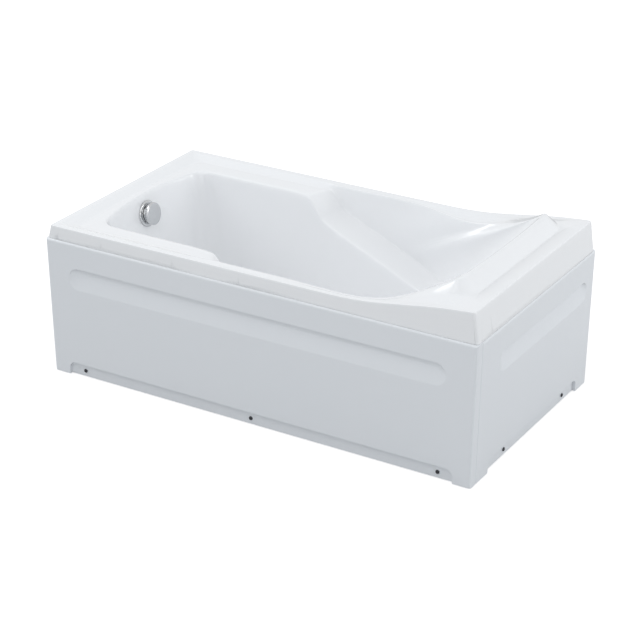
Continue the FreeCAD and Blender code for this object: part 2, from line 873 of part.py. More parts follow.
HALF_X = S.tub_length / 2
HALF_Y = S.tub_width / 2
SKIRT_DEPTH = S.kick_depth + S.skirt_wall
FRAME_X = HALF_X - SKIRT_DEPTH - S.bracket_wall
FRAME_Y = HALF_Y - SKIRT_DEPTH - S.bracket_wall
SKIRT_TOP = S.deck_height - S.joint_drop - S.joint_gap
UNDERSIDE = S.floor_height - S.shell_wall
BOARD_Z = UNDERSIDE - S.board_thickness
CROSS_Z = BOARD_Z - S.rail_side
RAIL_Z = CROSS_Z - S.rail_side
RIM_RAIL_TOP = S.deck_height - S.rim_rail_drop
RIM_RAIL_Z = RIM_RAIL_TOP - S.rim_rail_side
WASTE_X = S.waste_inset - HALF_X


# ---------------------------------------------------------------- overflow axis

WALL_RUN = S.basin_left - S.lip_inset - S.end_deck_width
WALL_RISE = S.deck_height - S.floor_height
LEAN = angle_of(WALL_RUN, WALL_RISE)
TURN = 90 - LEAN
OVERFLOW_X = WALL_RUN * (S.overflow_drop / WALL_RISE) + S.lip_inset + S.end_deck_width - HALF_X


def on_overflow(distance):
    """A point on the overflow's axis, so far into the basin from the wall's face."""
    distance = Size.of(distance)
    height = S.deck_height - S.overflow_drop + distance * sine(LEAN)
    return (OVERFLOW_X + distance * cosine(LEAN), ZERO, height)


# ---------------------------------------------------------------- shell


def make_shell():
    """The acrylic shell, with its waste hole and its overflow hole."""
    form = doc.addObject("Part::Feature", "shell_form")
    form.Shape = shell_solid({name: sheet.get(name) for name in SIZES})
    depth = S.shell_wall * 4
    waste_hole = cylinder("shell_waste_hole", S.waste_tail_radius + S.waste_hole_clearance, depth,
                          (WASTE_X, ZERO, S.floor_height - depth / 2))
    overflow_hole = cylinder("shell_overflow_hole", S.neck_radius + S.overflow_hole_clearance, depth,
                             on_overflow(-depth / 2), lean=TURN)
    keep("tub_shell", cut("tub_shell", form, waste_hole, overflow_hole))


# ---------------------------------------------------------------- skirts


def lean_at(height):
    """How far the skirts' flared ends stand past the nominal ends, at a height."""
    return S.skirt_flare * ((height - S.skirt_bottom) / (SKIRT_TOP - S.skirt_bottom))


def tapered(name, low, high, left, right, front, back):
    """A block whose left, right and front sides lean: each of these gives its place at a height."""
    thing = doc.addObject("Part::Wedge", name)
    bind(thing, Ymin=low, Ymax=high)
    bind(thing, Xmin=left(low), Xmax=right(low), Zmin=-back, Zmax=-front(low))
    bind(thing, X2min=left(high), X2max=right(high), Z2min=-back, Z2max=-front(high))
    thing.Placement = FreeCAD.Placement(Vector(0, 0, 0), FreeCAD.Rotation(Vector(1, 0, 0), 90))
    return thing


def make_skirt(label, start, end, depth, leans, recess, kick, screws, turn):
    """A moulded skirt, made lying along its own X with its nominal face at its own Y zero.

    leans says which of the left, right and front sides are flared, recess and kick are the stretches
    of X that they fill, and screws the places of the holes.
    """
    bottom = S.skirt_bottom
    wall = S.skirt_wall
    middle = (bottom + SKIRT_TOP) / 2

    def left(height):
        return start - lean_at(height) if leans["left"] else start

    def right(height):
        return end + lean_at(height) if leans["right"] else end

    def front(height):
        return -lean_at(height) if leans["front"] else ZERO

    block = tapered(label + "_block", bottom, SKIRT_TOP, left, right, front, depth)
    doc.recompute()

    def outer_edge(edge):
        ends = [v.Point for v in edge.Vertexes]
        in_front = all(p.y < depth.value / 2 for p in ends)
        upright = abs(ends[0].z - ends[1].z) > 1
        across_top = all(p.z > middle.value for p in ends) and abs(ends[0].x - ends[1].x) > 1
        return in_front and (upright or across_top)

    soft = doc.addObject("Part::Fillet", label + "_soft_block")
    soft.Base = block
    radius = sheet.get("skirt_edge")
    soft.Edges = [(i, radius, radius) for i, e in enumerate(block.Shape.Edges, 1) if outer_edge(e)]

    face = front((S.recess_top + S.recess_bottom) / 2)

    def recess_form(name, grow, shift):
        """The recess's hollow, or with grow the block of wall that stands behind it."""

        def section(tag, share):
            inset = S.recess_ramp / 2 * share
            return stadium(name + tag, face + shift + S.recess_depth * share, recess[0] + inset - grow,
                           recess[1] - inset + grow, S.recess_bottom + S.recess_ramp * share - grow,
                           S.recess_top - S.recess_step * share + grow)

        form = doc.addObject("Part::Loft", name)
        form.Sections = [section("_outside", S.recess_over * -1), section("_floor", Size.of(1))]
        form.Solid = True
        form.Ruled = True
        return form

    def kick_form(name, grow, begin, reach):
        """The set-back of the kick strip, with its two rounded upper corners."""
        near, far, top = kick[0] - grow, kick[1] + grow, S.kick_height + grow
        radius = S.kick_round + grow
        low = bottom - wall
        tall = box(name + "_tall", (near + radius, begin, low), (far - near - 2 * radius, reach, top - low))
        wide = box(name + "_wide", (near, begin, low), (far - near, reach, top - radius - low))
        corners = [
            cylinder(f"{name}_corner_{i}", radius, reach, (x, begin, top - radius), "y")
            for i, x in enumerate((near + radius, far - radius))
        ]
        return join(name, tall, wide, *corners)

    hollow = tapered(
        label + "_hollow", bottom - 1, SKIRT_TOP - wall,
        lambda z: left(z) + wall, lambda z: right(z) - wall, lambda z: front(z) + wall, depth + 1,
    )
    behind = [
        recess_form(label + "_recess_back", wall, wall),
        kick_form(label + "_kick_back", wall, -wall, SKIRT_DEPTH + wall),
    ]
    cavity = cut(label + "_cavity", hollow, *behind)
    flange_end = box(label + "_flange_end", (start + wall, SKIRT_DEPTH, SKIRT_TOP - wall - 1),
                     (end - start - 2 * wall, S.skirt_return, wall + 2))
    holes = [
        cylinder(f"{label}_hole_{i}", S.screw_radius + S.hole_clearance, SKIRT_DEPTH * 2,
                 (x, ZERO, S.screw_height), "y")
        for i, x in enumerate(screws)
    ]
    reach = S.kick_depth + wall
    shaped = cut(
        label, soft, cavity, flange_end, recess_form(label + "_recess", ZERO, ZERO),
        kick_form(label + "_kick", ZERO, -wall, reach), *holes
    )
    if turn:
        shaped.Placement = FreeCAD.Placement(Vector(0, 0, 0), FreeCAD.Rotation(Vector(0, 0, 1), 90))
        shaped.setExpression("Placement.Base.x", HALF_X.text)
    else:
        shaped.setExpression("Placement.Base.y", (-HALF_Y).text)
    keep(label, shaped)


FRONT_SCREWS = [S.screw_left - HALF_X, S.screw_middle - HALF_X, HALF_X - S.screw_right]
END_SCREWS = [S.end_screw_front - HALF_Y, S.end_screw_back - HALF_Y]


def make_skirts():
    make_skirt(
        "front_skirt", -HALF_X, HALF_X, S.skirt_return,
        {"left": True, "right": True, "front": False},
        (S.recess_left - HALF_X, HALF_X - S.recess_right),
        (S.kick_side - HALF_X, HALF_X - S.kick_side),
        FRONT_SCREWS, False,
    )
    make_skirt(
        "end_skirt", S.skirt_return + S.seam - HALF_Y, HALF_Y, SKIRT_DEPTH,
        {"left": False, "right": False, "front": True},
        (S.end_recess_front - HALF_Y, HALF_Y - S.end_recess_back),
        (S.end_kick_front - HALF_Y, HALF_Y - S.end_kick_back),
        END_SCREWS, True,
    )


CROWN_SHARE = 0.8  # rounding of a screw's head, as a share of its height


def make_skirt_fasteners():
    """Screws with cup washers through the kick strips, into nuts on the brackets, and the top clips."""
    kick_face_y = S.kick_depth - HALF_Y
    kick_face_x = HALF_X - S.kick_depth
    screws, washers, brackets, nuts, clips = [], [], [], [], []
    bracket_top = RAIL_Z + S.rail_side - S.bracket_drop
    bracket_low = S.screw_height - S.clip_nut_side
    hole = S.screw_radius + S.hole_clearance

    def screw_at(name, foot, inward, outward):
        """One screw: its dome outside the cup washer, its shank inward through the wall."""
        head_foot = [f + o * S.washer_height for f, o in zip(foot, outward)]
        head = cylinder(name + "_head", S.screw_head_radius, S.screw_head_height, head_foot, inward[1])
        shank_length = S.screw_length + S.washer_height
        shank = cylinder(name + "_shank", S.screw_radius, shank_length, head_foot, inward[0])
        doc.recompute()
        crown = doc.addObject("Part::Fillet", name + "_crown")
        crown.Base = head
        far = max if sum(outward) > 0 else min
        spots = [(e.CenterOfMass.x if outward[0] else e.CenterOfMass.y) for e in head.Shape.Edges]
        soft = sheet.get("screw_head_height") * CROWN_SHARE
        picked = [
            i for i, (e, at) in enumerate(zip(head.Shape.Edges, spots), 1)
            if abs(at - far(spots)) < 0.01 and e.Curve.TypeId == "Part::GeomCircle"
        ]
        crown.Edges = [(i, soft, soft) for i in picked]
        return join(name, crown, shank)

    for i, x in enumerate(FRONT_SCREWS):
        foot = (x, kick_face_y, S.screw_height)
        screws.append(screw_at(f"front_screw_{i}", foot, ("y", "-y"), (0, -1, 0)))
        washers.append(ring(f"front_washer_{i}", S.washer_radius, hole, S.washer_height, foot, "-y"))
        plate = box(f"front_plate_{i}", (x - S.bracket_width / 2, -FRAME_Y - S.bracket_wall, bracket_low),
                    (S.bracket_width, S.bracket_wall, bracket_top - bracket_low))
        drill = cylinder(f"front_drill_{i}", hole, S.bracket_wall,
                         (x, -FRAME_Y - S.bracket_wall, S.screw_height), "y")
        brackets.append(cut(f"front_bracket_{i}", plate, drill))
        block = box(f"front_nut_block_{i}",
                    (x - S.clip_nut_side / 2, -FRAME_Y, S.screw_height - S.clip_nut_side / 2),
                    (S.clip_nut_side, S.clip_nut_height, S.clip_nut_side))
        thread = cylinder(f"front_nut_thread_{i}", S.screw_radius + S.thread_gap, S.clip_nut_height,
                          (x, -FRAME_Y, S.screw_height), "y")
        nuts.append(cut(f"front_nut_{i}", block, thread))
        back = box(f"front_clip_back_{i}",
                   (x - S.clip_width / 2, -FRAME_Y - S.clip_wall, SKIRT_TOP - S.clip_reach),
                   (S.clip_width, S.clip_wall, RIM_RAIL_TOP - SKIRT_TOP + S.clip_reach - S.clip_drop))
        tab_z = SKIRT_TOP - S.skirt_wall - S.clip_gap - S.clip_wall
        tab = box(f"front_clip_tab_{i}", (x - S.clip_width / 2, -FRAME_Y - S.clip_wall - S.clip_reach, tab_z),
                  (S.clip_width, S.clip_reach, S.clip_wall))
        clips.append(join(f"front_clip_{i}", back, tab))
    for i, y in enumerate(END_SCREWS):
        foot = (kick_face_x, y, S.screw_height)
        screws.append(screw_at(f"end_screw_{i}", foot, ("-x", "x"), (1, 0, 0)))
        washers.append(ring(f"end_washer_{i}", S.washer_radius, hole, S.washer_height, foot, "x"))
        plate = box(f"end_plate_{i}", (FRAME_X, y - S.bracket_width / 2, bracket_low),
                    (S.bracket_wall, S.bracket_width, bracket_top - bracket_low))
        drill = cylinder(f"end_drill_{i}", hole, S.bracket_wall, (FRAME_X, y, S.screw_height), "x")
        brackets.append(cut(f"end_bracket_{i}", plate, drill))
        block = box(f"end_nut_block_{i}",
                    (FRAME_X - S.clip_nut_height, y - S.clip_nut_side / 2,
                     S.screw_height - S.clip_nut_side / 2),
                    (S.clip_nut_height, S.clip_nut_side, S.clip_nut_side))
        thread = cylinder(f"end_nut_thread_{i}", S.screw_radius + S.thread_gap, S.clip_nut_height,
                          (FRAME_X - S.clip_nut_height, y, S.screw_height), "x")
        nuts.append(cut(f"end_nut_{i}", block, thread))
        back = box(f"end_clip_back_{i}", (FRAME_X, y - S.clip_width / 2, SKIRT_TOP - S.clip_reach),
                   (S.clip_wall, S.clip_width, RIM_RAIL_TOP - SKIRT_TOP + S.clip_reach - S.clip_drop))
        tab_z = SKIRT_TOP - S.skirt_wall - S.clip_gap - S.clip_wall
        tab = box(f"end_clip_tab_{i}", (FRAME_X + S.clip_wall, y - S.clip_width / 2, tab_z),
                  (S.clip_reach, S.clip_width, S.clip_wall))
        clips.append(join(f"end_clip_{i}", back, tab))
    keep("skirt_screws", group("skirt_screws", screws))
    keep("skirt_cup_washers", group("skirt_cup_washers", washers))
    keep("skirt_brackets", group("skirt_brackets", brackets))
    keep("skirt_clip_nuts", group("skirt_clip_nuts", nuts))
    keep("skirt_clips", group("skirt_clips", clips))


# ---------------------------------------------------------------- frame

SIDES = {"front": -1, "back": 1}
CROSS_BARS = {
    "foot": S.cross_foot - HALF_X,
    "middle": S.cross_middle - HALF_X,
    "back": S.cross_back - HALF_X,
    "head": HALF_X - S.cross_head,
}


def band(side, width):
    """Where a tube of this width begins in Y, its outer face on the frame's outer face."""
    return -FRAME_Y if side < 0 else FRAME_Y - width


def make_frame():
    rail, rim = S.rail_side, S.rim_rail_side
    for name, side in SIDES.items():
        keep(f"bottom_rail_{name}",
             square_tube(f"bottom_rail_{name}", (-FRAME_X, band(side, rail), RAIL_Z),
                         (2 * FRAME_X, rail, rail), "x", S.rail_wall))
        keep(f"rim_rail_{name}",
             square_tube(f"rim_rail_{name}", (-FRAME_X, band(side, rim), RIM_RAIL_Z),
                         (2 * FRAME_X, rim, rim), "x", S.rail_wall))
        uprights = {"foot": -FRAME_X, "middle": S.upright_middle - HALF_X - rim, "head": FRAME_X - rim}
        for end, x in uprights.items():
            keep(f"upright_{name}_{end}",
                 square_tube(f"upright_{name}_{end}", (x, band(side, rim), CROSS_Z),
                             (rim, rim, RIM_RAIL_Z - CROSS_Z), "z", S.rail_wall))
    for end, x in (("foot", -FRAME_X), ("head", FRAME_X - rail)):
        keep(f"bottom_bar_{end}",
             square_tube(f"bottom_bar_{end}", (x, rail - FRAME_Y, RAIL_Z),
                         (rail, 2 * (FRAME_Y - rail), rail), "y", S.rail_wall))
    for end, x in (("foot", -FRAME_X), ("head", FRAME_X - rim)):
        keep(f"rim_bar_{end}",
             square_tube(f"rim_bar_{end}", (x, rim - FRAME_Y, RIM_RAIL_Z),
                         (rim, 2 * (FRAME_Y - rim), rim), "y", S.rail_wall))


def make_cross_bars_and_board():
    """Cross bars on the bottom rails, the board on them, and the screws that hold it."""
    rail = S.rail_side
    screws, board_holes = [], []
    hole = S.board_screw_radius + S.hole_clearance
    for name, x in CROSS_BARS.items():
        tube = square_tube(f"cross_bar_{name}_tube", (x - rail / 2, -FRAME_Y, CROSS_Z),
                           (rail, 2 * FRAME_Y, rail), "y", S.rail_wall)
        drills = []
        if name != "head":
            for i, y in enumerate((-S.board_screw_y, S.board_screw_y)):
                tag = f"board_screw_{name}_{i}"
                drills.append(cylinder(tag + "_drill", hole, rail, (x, y, CROSS_Z)))
                board_holes.append(cylinder(tag + "_board_hole", hole, S.board_screw_length - rail,
                                            (x, y, BOARD_Z)))
                shank = cylinder(tag + "_shank", S.board_screw_radius, S.board_screw_length, (x, y, CROSS_Z))
                head = cylinder(tag + "_head", S.board_screw_head, S.board_screw_head_height,
                                (x, y, CROSS_Z - S.board_screw_head_height))
                screws.append(join(tag, shank, head))
        for foot, (foot_bar, y) in FEET.items():
            if foot_bar == name:
                drills.append(cylinder(f"cross_bar_{foot}_drill", S.foot_rod_radius + S.hole_clearance,
                                       rail / 2, (x, y, CROSS_Z)))
        keep(f"cross_bar_{name}", cut(f"cross_bar_{name}", tube, *drills))
    board = box("board_blank", (S.board_left - HALF_X, -S.board_half, BOARD_Z),
                (S.board_right - S.board_left, 2 * S.board_half, S.board_thickness))
    waste = cylinder("board_waste_hole", S.cup_flange_radius + S.board_hole_clearance, S.board_thickness,
                     (WASTE_X, ZERO, BOARD_Z))
    keep("base_board", cut("base_board", board, waste, *board_holes))
    keep("board_screws", group("board_screws", screws))


def make_packers():
    """Blocks between the rim rails and the lip, and the tall ones under the head end's lip."""
    low = RIM_RAIL_TOP
    height = S.deck_height + S.rim_rise - S.shell_wall - S.packer_gap - low
    length, width = S.packer_length, S.packer_width
    places = [S.packer_first - HALF_X, S.packer_second - HALF_X, S.packer_third - HALF_X]
    blocks = []
    for side in (-1, 1):
        y = -FRAME_Y if side < 0 else FRAME_Y - width
        for i, x in enumerate(places):
            blocks.append(box(f"packer_{side + 1}_{i}", (x - length / 2, y, low), (length, width, height)))
        blocks.append(box(f"packer_foot_{side + 1}", (-FRAME_X, side * S.board_half - length / 2, low),
                          (width, length, height)))
        head_height = height + S.packer_gap + S.head_rise - S.head_packer_gap
        blocks.append(box(f"packer_head_{side + 1}",
                          (FRAME_X - width, side * S.head_block_y - length / 2, low),
                          (width, length, head_height)))
    keep("rim_packers", group("rim_packers", blocks))


# ---------------------------------------------------------------- levelling feet

FOOT_Y = FRAME_Y - S.foot_inset
FEET = {
    "front_left": ("foot", -FOOT_Y),
    "back_left": ("foot", FOOT_Y),
    "front_right": ("head", -FOOT_Y),
    "back_right": ("head", FOOT_Y),
    "centre": ("middle", ZERO),
}


def make_feet():
    weld_nuts, lock_nuts = [], []
    bore = S.foot_rod_radius + S.thread_gap
    for name, (bar, y) in FEET.items():
        x = CROSS_BARS[bar]
        rod_foot = S.foot_socket_bottom + S.foot_end_gap
        stem = cylinder(f"rod_{name}_stem", S.foot_rod_radius, S.foot_rod_top - rod_foot, (x, y, rod_foot))
        grip = hexagon(f"rod_{name}_grip", S.foot_hex, S.foot_hex_height,
                       (x, y, S.foot_pad_height + S.foot_grip_gap))
        keep(f"foot_rod_{name}", join(f"foot_rod_{name}", stem, grip))
        pad = turned(
            f"foot_pad_{name}",
            [(0, 0), (S.foot_pad_radius, 0), (S.foot_pad_radius, S.foot_pad_edge),
             (S.foot_rod_radius + S.foot_pad_neck, S.foot_pad_height), (bore, S.foot_pad_height),
             (bore, S.foot_socket_bottom), (0, S.foot_socket_bottom)],
        )
        keep(f"foot_pad_{name}", place(pad, (x, y, ZERO)))
        weld_z = CROSS_Z - S.weld_nut_height
        lock_z = weld_z - S.lock_nut_height
        for kind, z, height, nuts in (("weld", weld_z, S.weld_nut_height, weld_nuts),
                                      ("lock", lock_z, S.lock_nut_height, lock_nuts)):
            blank = hexagon(f"{kind}_blank_{name}", S.foot_nut, height, (x, y, z))
            thread = cylinder(f"{kind}_thread_{name}", bore, height, (x, y, z))
            nuts.append(cut(f"{kind}_nut_{name}", blank, thread))
    keep("foot_weld_nuts", group("foot_weld_nuts", weld_nuts))
    keep("foot_lock_nuts", group("foot_lock_nuts", lock_nuts))


# ---------------------------------------------------------------- pop-up waste

CABLE_BOSS_OUT = S.cable_boss_length / 4  # how far the lower boss stands out of the cup


def make_waste():
    x = WASTE_X
    tail, tail_bore = S.waste_tail_radius, S.waste_tail_bore
    seat = S.floor_height + S.gasket_height
    top = seat + S.waste_flange_height
    tail_end = top - S.waste_tail_length
    flange = turned(
        "waste_flange_turned",
        [(tail_bore, tail_end), (tail, tail_end), (tail, seat), (S.waste_flange_radius, seat),
         (S.waste_flange_radius - S.waste_flange_bevel, top), (tail_bore + S.waste_throat_width, top),
         (tail_bore, top - S.waste_throat_depth)],
    )
    place(flange, (x, ZERO, ZERO))
    guide_z = tail_end + S.guide_lift
    spoke_half = tail_bore + S.spoke_root
    hub = cylinder("guide_hub", S.guide_radius, S.guide_height, (x, ZERO, guide_z))
    spokes = [
        box("guide_spoke_x", (x - spoke_half, -S.spoke_width / 2, guide_z),
            (2 * spoke_half, S.spoke_width, S.guide_height)),
        box("guide_spoke_y", (x - S.spoke_width / 2, -spoke_half, guide_z),
            (S.spoke_width, 2 * spoke_half, S.guide_height)),
    ]
    bore = cylinder("guide_bore", S.stem_radius + S.thread_gap, S.guide_height, (x, ZERO, guide_z))
    keep("waste_flange", cut("waste_flange", join("waste_flange_solid", flange, hub, *spokes), bore))
    gasket_bore = tail + S.gasket_fit
    keep("waste_gasket", ring("waste_gasket", S.waste_flange_radius - S.gasket_margin, gasket_bore,
                              S.gasket_height, (x, ZERO, S.floor_height)))
    gasket_z = UNDERSIDE - S.body_gasket_height
    keep("waste_body_gasket", ring("waste_body_gasket", S.cup_flange_radius - S.body_gasket_margin,
                                   gasket_bore, S.body_gasket_height, (x, ZERO, gasket_z)))

    collar_low = gasket_z - S.cup_collar
    inner = S.cup_radius - S.cup_wall
    outlet_bore = S.outlet_radius - S.pipe_wall
    stop_low = S.cup_bottom - S.outlet_stop
    stop_radius = S.outlet_radius + S.outlet_stop_width
    cup = turned(
        "waste_cup",
        [(outlet_bore, S.outlet_bottom), (S.outlet_radius, S.outlet_bottom), (S.outlet_radius, stop_low),
         (stop_radius, stop_low), (stop_radius, S.cup_bottom), (S.cup_radius, S.cup_bottom),
         (S.cup_radius, gasket_z - S.cup_flange_height),
         (S.cup_flange_radius, gasket_z - S.cup_flange_height), (S.cup_flange_radius, gasket_z),
         (tail + S.thread_gap, gasket_z), (tail + S.thread_gap, collar_low), (inner, collar_low),
         (inner, S.cup_bottom + S.cup_wall), (outlet_bore, S.cup_bottom + S.cup_wall)],
    )
    place(cup, (x, ZERO, ZERO))
    socket_bore = S.pipe_radius + S.pipe_fit
    port_start = x - S.cup_radius - S.cup_port_length
    port = cylinder("cup_port", socket_bore + S.socket_wall, S.cup_radius + S.cup_port_length,
                    (port_start, ZERO, S.pipe_height), "x")
    port_bore = cylinder("cup_port_bore", socket_bore, S.cup_radius + S.cup_port_length + inner / 2,
                         (port_start, ZERO, S.pipe_height), "x")
    clear = cylinder("cup_clear", inner, collar_low - S.cup_bottom - S.cup_wall,
                     (x, ZERO, S.cup_bottom + S.cup_wall))
    boss = cylinder("cup_cable_boss", S.cable_boss, S.cable_boss_length,
                    (x - S.cup_radius - CABLE_BOSS_OUT, S.cable_y, S.cable_height), "x")
    pin_foot = (x - S.lever_arm, -S.cup_radius, S.lever_pivot_height)
    pin_hole = cylinder("cup_pin_hole", S.lever_pin_radius + S.thread_gap, 2 * S.cup_radius, pin_foot, "y")
    body = cut("waste_body_solid", join("waste_body_outside", cup, port, boss), clear, port_bore, pin_hole)
    keep("waste_body", body)
    pin_half = S.cup_radius - S.lever_pin_inset
    keep("lever_pin", cylinder("lever_pin", S.lever_pin_radius, 2 * pin_half,
                               (x - S.lever_arm, -pin_half, S.lever_pivot_height), "y"))


def make_plug():
    x = WASTE_X
    seat = S.floor_height + S.gasket_height + S.waste_flange_height
    seal_z = seat + S.seal_gap
    plug_z = seal_z + S.seal_height
    swing = S.lever_swing / 2
    tip_z = S.lever_pivot_height - S.lever_arm * sine(swing)
    nose_z = tip_z + S.lever_half + S.lever_gap + S.stem_radius
    plug = turned(
        "waste_plug",
        [(0, plug_z), (S.plug_radius, plug_z), (S.plug_radius, plug_z + S.plug_edge),
         (S.plug_radius - S.plug_bevel, plug_z + S.plug_height - S.plug_bevel_drop),
         (S.plug_radius / 2, plug_z + S.plug_height), (0, plug_z + S.plug_height + S.plug_crown)],
    )
    keep("waste_plug", place(plug, (x, ZERO, ZERO)))
    keep("plug_seal", ring("plug_seal", S.seal_radius, S.seal_bore, S.seal_height, (x, ZERO, seal_z)))
    rod = cylinder("plug_stem_rod", S.stem_radius, plug_z - nose_z, (x, ZERO, nose_z))
    nose = doc.addObject("Part::Sphere", "plug_stem_nose")
    bind(nose, Radius=S.stem_radius)
    keep("plug_stem", join("plug_stem", rod, place(nose, (x, ZERO, nose_z))))

    pivot = (x - S.lever_arm, -S.lever_thickness / 2, S.lever_pivot_height)
    arm = box("lever_arm_bar", (ZERO, ZERO, -S.lever_half),
              (S.lever_arm, S.lever_thickness, 2 * S.lever_half))
    tip = cylinder("lever_tip", S.lever_half, S.lever_thickness, (S.lever_arm, ZERO, ZERO), "y")
    hub = cylinder("lever_hub", S.lever_half + S.lever_hub_wall, S.lever_thickness, (ZERO, ZERO, ZERO), "y")
    tail = box("lever_tail_bar", (-S.lever_tail, ZERO, -S.lever_half / 2),
               (S.lever_tail, S.lever_thickness, S.lever_half))
    hole = cylinder("lever_bore", S.lever_pin_radius + S.thread_gap, S.lever_thickness,
                    (ZERO, ZERO, ZERO), "y")
    lever = cut("lift_lever", join("lever_blank", arm, tip, hub, tail), hole)
    keep("lift_lever", place(lever, pivot, lean=swing))


# ---------------------------------------------------------------- overflow

CUP_MIDDLE = -S.shell_wall - S.overflow_gasket_height - (S.overflow_cup_depth + S.neck_length / 2) / 2
PIPE_X = on_overflow(CUP_MIDDLE)[0]
PORT_TOP = on_overflow(CUP_MIDDLE)[2]
PORT_LOW = PORT_TOP - S.overflow_cup_radius - S.overflow_port_length
CABLE_X = PIPE_X
CABLE_TOP = PORT_TOP - S.overflow_cup_radius - S.cable_boss_drop

# rosette: height of its outer rim, widths of its bevels and rise of its crown
ROSETTE_RIM, ROSETTE_BEVEL, ROSETTE_CROWN = 2, 6, 1
# the hub that carries the spindle: how far it stands in from the neck's end, its wall and length
HUB_SETBACK, HUB_WALL, HUB_LENGTH = 4, 4, 6
# knob: rise of its crown, width of its bevel and depth of the spindle's socket
KNOB_CROWN, KNOB_BEVEL, KNOB_SOCKET = 1, 8, 5
SPINDLE_END = 2  # how far the spindle stands out behind the drum
CUP_RIM = 4  # thickness of the overflow body's rim


def make_overflow():
    gap = S.rosette_gap
    back = -S.shell_wall - S.overflow_gasket_height
    rosette = turned(
        "rosette_turned",
        [(S.neck_bore, -S.neck_length), (S.neck_radius, -S.neck_length), (S.neck_radius, gap),
         (S.rosette_radius, gap), (S.rosette_radius, gap + ROSETTE_RIM),
         (S.rosette_radius - ROSETTE_BEVEL / 2, gap + S.rosette_height - ROSETTE_CROWN),
         (S.rosette_radius - ROSETTE_BEVEL, gap + S.rosette_height),
         (S.rosette_inner + ROSETTE_BEVEL / 2, gap + S.rosette_height),
         (S.rosette_inner, gap + S.rosette_height - ROSETTE_RIM), (S.neck_bore, gap + ROSETTE_CROWN)],
    )
    place(rosette, on_overflow(0), lean=TURN)
    hub_back = HUB_SETBACK - S.neck_length
    hub = cylinder("rosette_hub", S.spindle_radius + HUB_WALL, HUB_LENGTH, on_overflow(hub_back), lean=TURN)
    spokes = []
    for i, axis in enumerate(("x", "y")):
        spoke = doc.addObject("Part::Box", f"rosette_spoke_{axis}")
        long, thin = 2 * (S.neck_bore + 1), S.spoke_width
        bind(spoke, Length=long if i == 0 else thin, Width=thin if i == 0 else long, Height=HUB_LENGTH)
        holder = doc.addObject("Part::Compound", f"rosette_spoke_{axis}_set")
        holder.Links = [spoke]
        spoke.setExpression("Placement.Base.x", (-(long if i == 0 else thin) / 2).text)
        spoke.setExpression("Placement.Base.y", (-(thin if i == 0 else long) / 2).text)
        spokes.append(place(holder, on_overflow(hub_back), lean=TURN))
    bore = cylinder("rosette_bore", S.spindle_radius + S.thread_gap, HUB_LENGTH, on_overflow(hub_back),
                    lean=TURN)
    keep("overflow_rosette", cut("overflow_rosette", join("rosette_solid", rosette, hub, *spokes), bore))

    hub_low = S.knob_disc_back - HUB_LENGTH
    socket_top = S.knob_disc_back + KNOB_SOCKET
    drum_inside = S.knob_drum_radius - S.knob_wall
    shoulder = S.knob_front - KNOB_CROWN
    knob = turned(
        "overflow_knob",
        [(S.spindle_radius, hub_low), (S.spindle_radius + HUB_WALL, hub_low),
         (S.spindle_radius + HUB_WALL, S.knob_disc_back), (drum_inside, S.knob_disc_back),
         (drum_inside, S.knob_back), (S.knob_drum_radius, S.knob_back),
         (S.knob_drum_radius, S.knob_disc_back - KNOB_CROWN), (S.knob_radius, S.knob_disc_back),
         (S.knob_radius, shoulder), (S.knob_radius - KNOB_BEVEL, S.knob_front),
         (0, S.knob_front + KNOB_CROWN), (0, socket_top), (S.spindle_radius, socket_top)],
    )
    rounded(knob, S.knob_edge, lambda e: e.BoundBox.XLength > 2 * S.knob_radius.value - 0.1
            and abs(e.CenterOfMass.z - shoulder.value) < 0.01)
    keep("overflow_knob", place(knob, on_overflow(0), lean=TURN))
    spindle_back = -S.drum_back - SPINDLE_END
    keep("overflow_spindle", cylinder("overflow_spindle", S.spindle_radius, socket_top - spindle_back,
                                      on_overflow(spindle_back), lean=TURN))
    keep("cable_drum", ring("cable_drum", S.drum_radius, S.spindle_radius, S.drum_height,
                            on_overflow(-S.drum_back), lean=TURN))
    keep("overflow_gasket", ring("overflow_gasket", S.overflow_gasket_radius, S.neck_radius + S.gasket_fit,
                                 S.overflow_gasket_height, on_overflow(back), lean=TURN))

    outer, wall = S.overflow_cup_radius, S.overflow_cup_wall
    end = back - S.overflow_cup_depth
    cup = turned(
        "overflow_cup",
        [(0, end), (outer, end), (outer, back - CUP_RIM), (S.overflow_gasket_radius, back - CUP_RIM),
         (S.overflow_gasket_radius, back), (S.neck_radius + S.thread_gap, back),
         (S.neck_radius + S.thread_gap, back - S.neck_length / 2), (outer - wall, back - S.neck_length / 2),
         (outer - wall, end + wall), (0, end + wall)],
    )
    place(cup, on_overflow(0), lean=TURN)
    port = cylinder("overflow_port", S.pipe_radius + S.pipe_fit + S.socket_wall, PORT_TOP - PORT_LOW,
                    (PIPE_X, ZERO, PORT_LOW))
    port_bore = cylinder("overflow_port_bore", S.pipe_radius + S.pipe_fit, PORT_TOP - PORT_LOW,
                         (PIPE_X, ZERO, PORT_LOW))
    boss = cylinder("overflow_cable_boss", S.cable_boss, PORT_TOP - CABLE_TOP,
                    (CABLE_X, S.cable_y, CABLE_TOP))
    clear = cylinder("overflow_clear", outer - wall, S.overflow_cup_depth - S.neck_length / 2 - wall,
                     on_overflow(end + wall), lean=TURN)
    throat = cylinder("overflow_throat", S.neck_radius + S.thread_gap, S.neck_length,
                      on_overflow(back - S.neck_length / 2), lean=TURN)
    outside = join("overflow_body_outside", cup, port, boss)
    keep("overflow_body", cut("overflow_body", outside, clear, throat, port_bore))


def bent_line(start, corner, end, radius):
    """Two straight runs joined by an arc, as a wire."""
    back = (start - corner).normalize()
    ahead = (end - corner).normalize()
    first = corner + back * radius
    last = corner + ahead * radius
    middle = first + ahead * radius
    arc_point = middle + (corner - middle).normalize() * radius
    edges = [
        Part.LineSegment(start, first).toShape(),
        Part.Arc(first, arc_point, last).toShape(),
        Part.LineSegment(last, end).toShape(),
    ]
    return Part.Wire(edges)


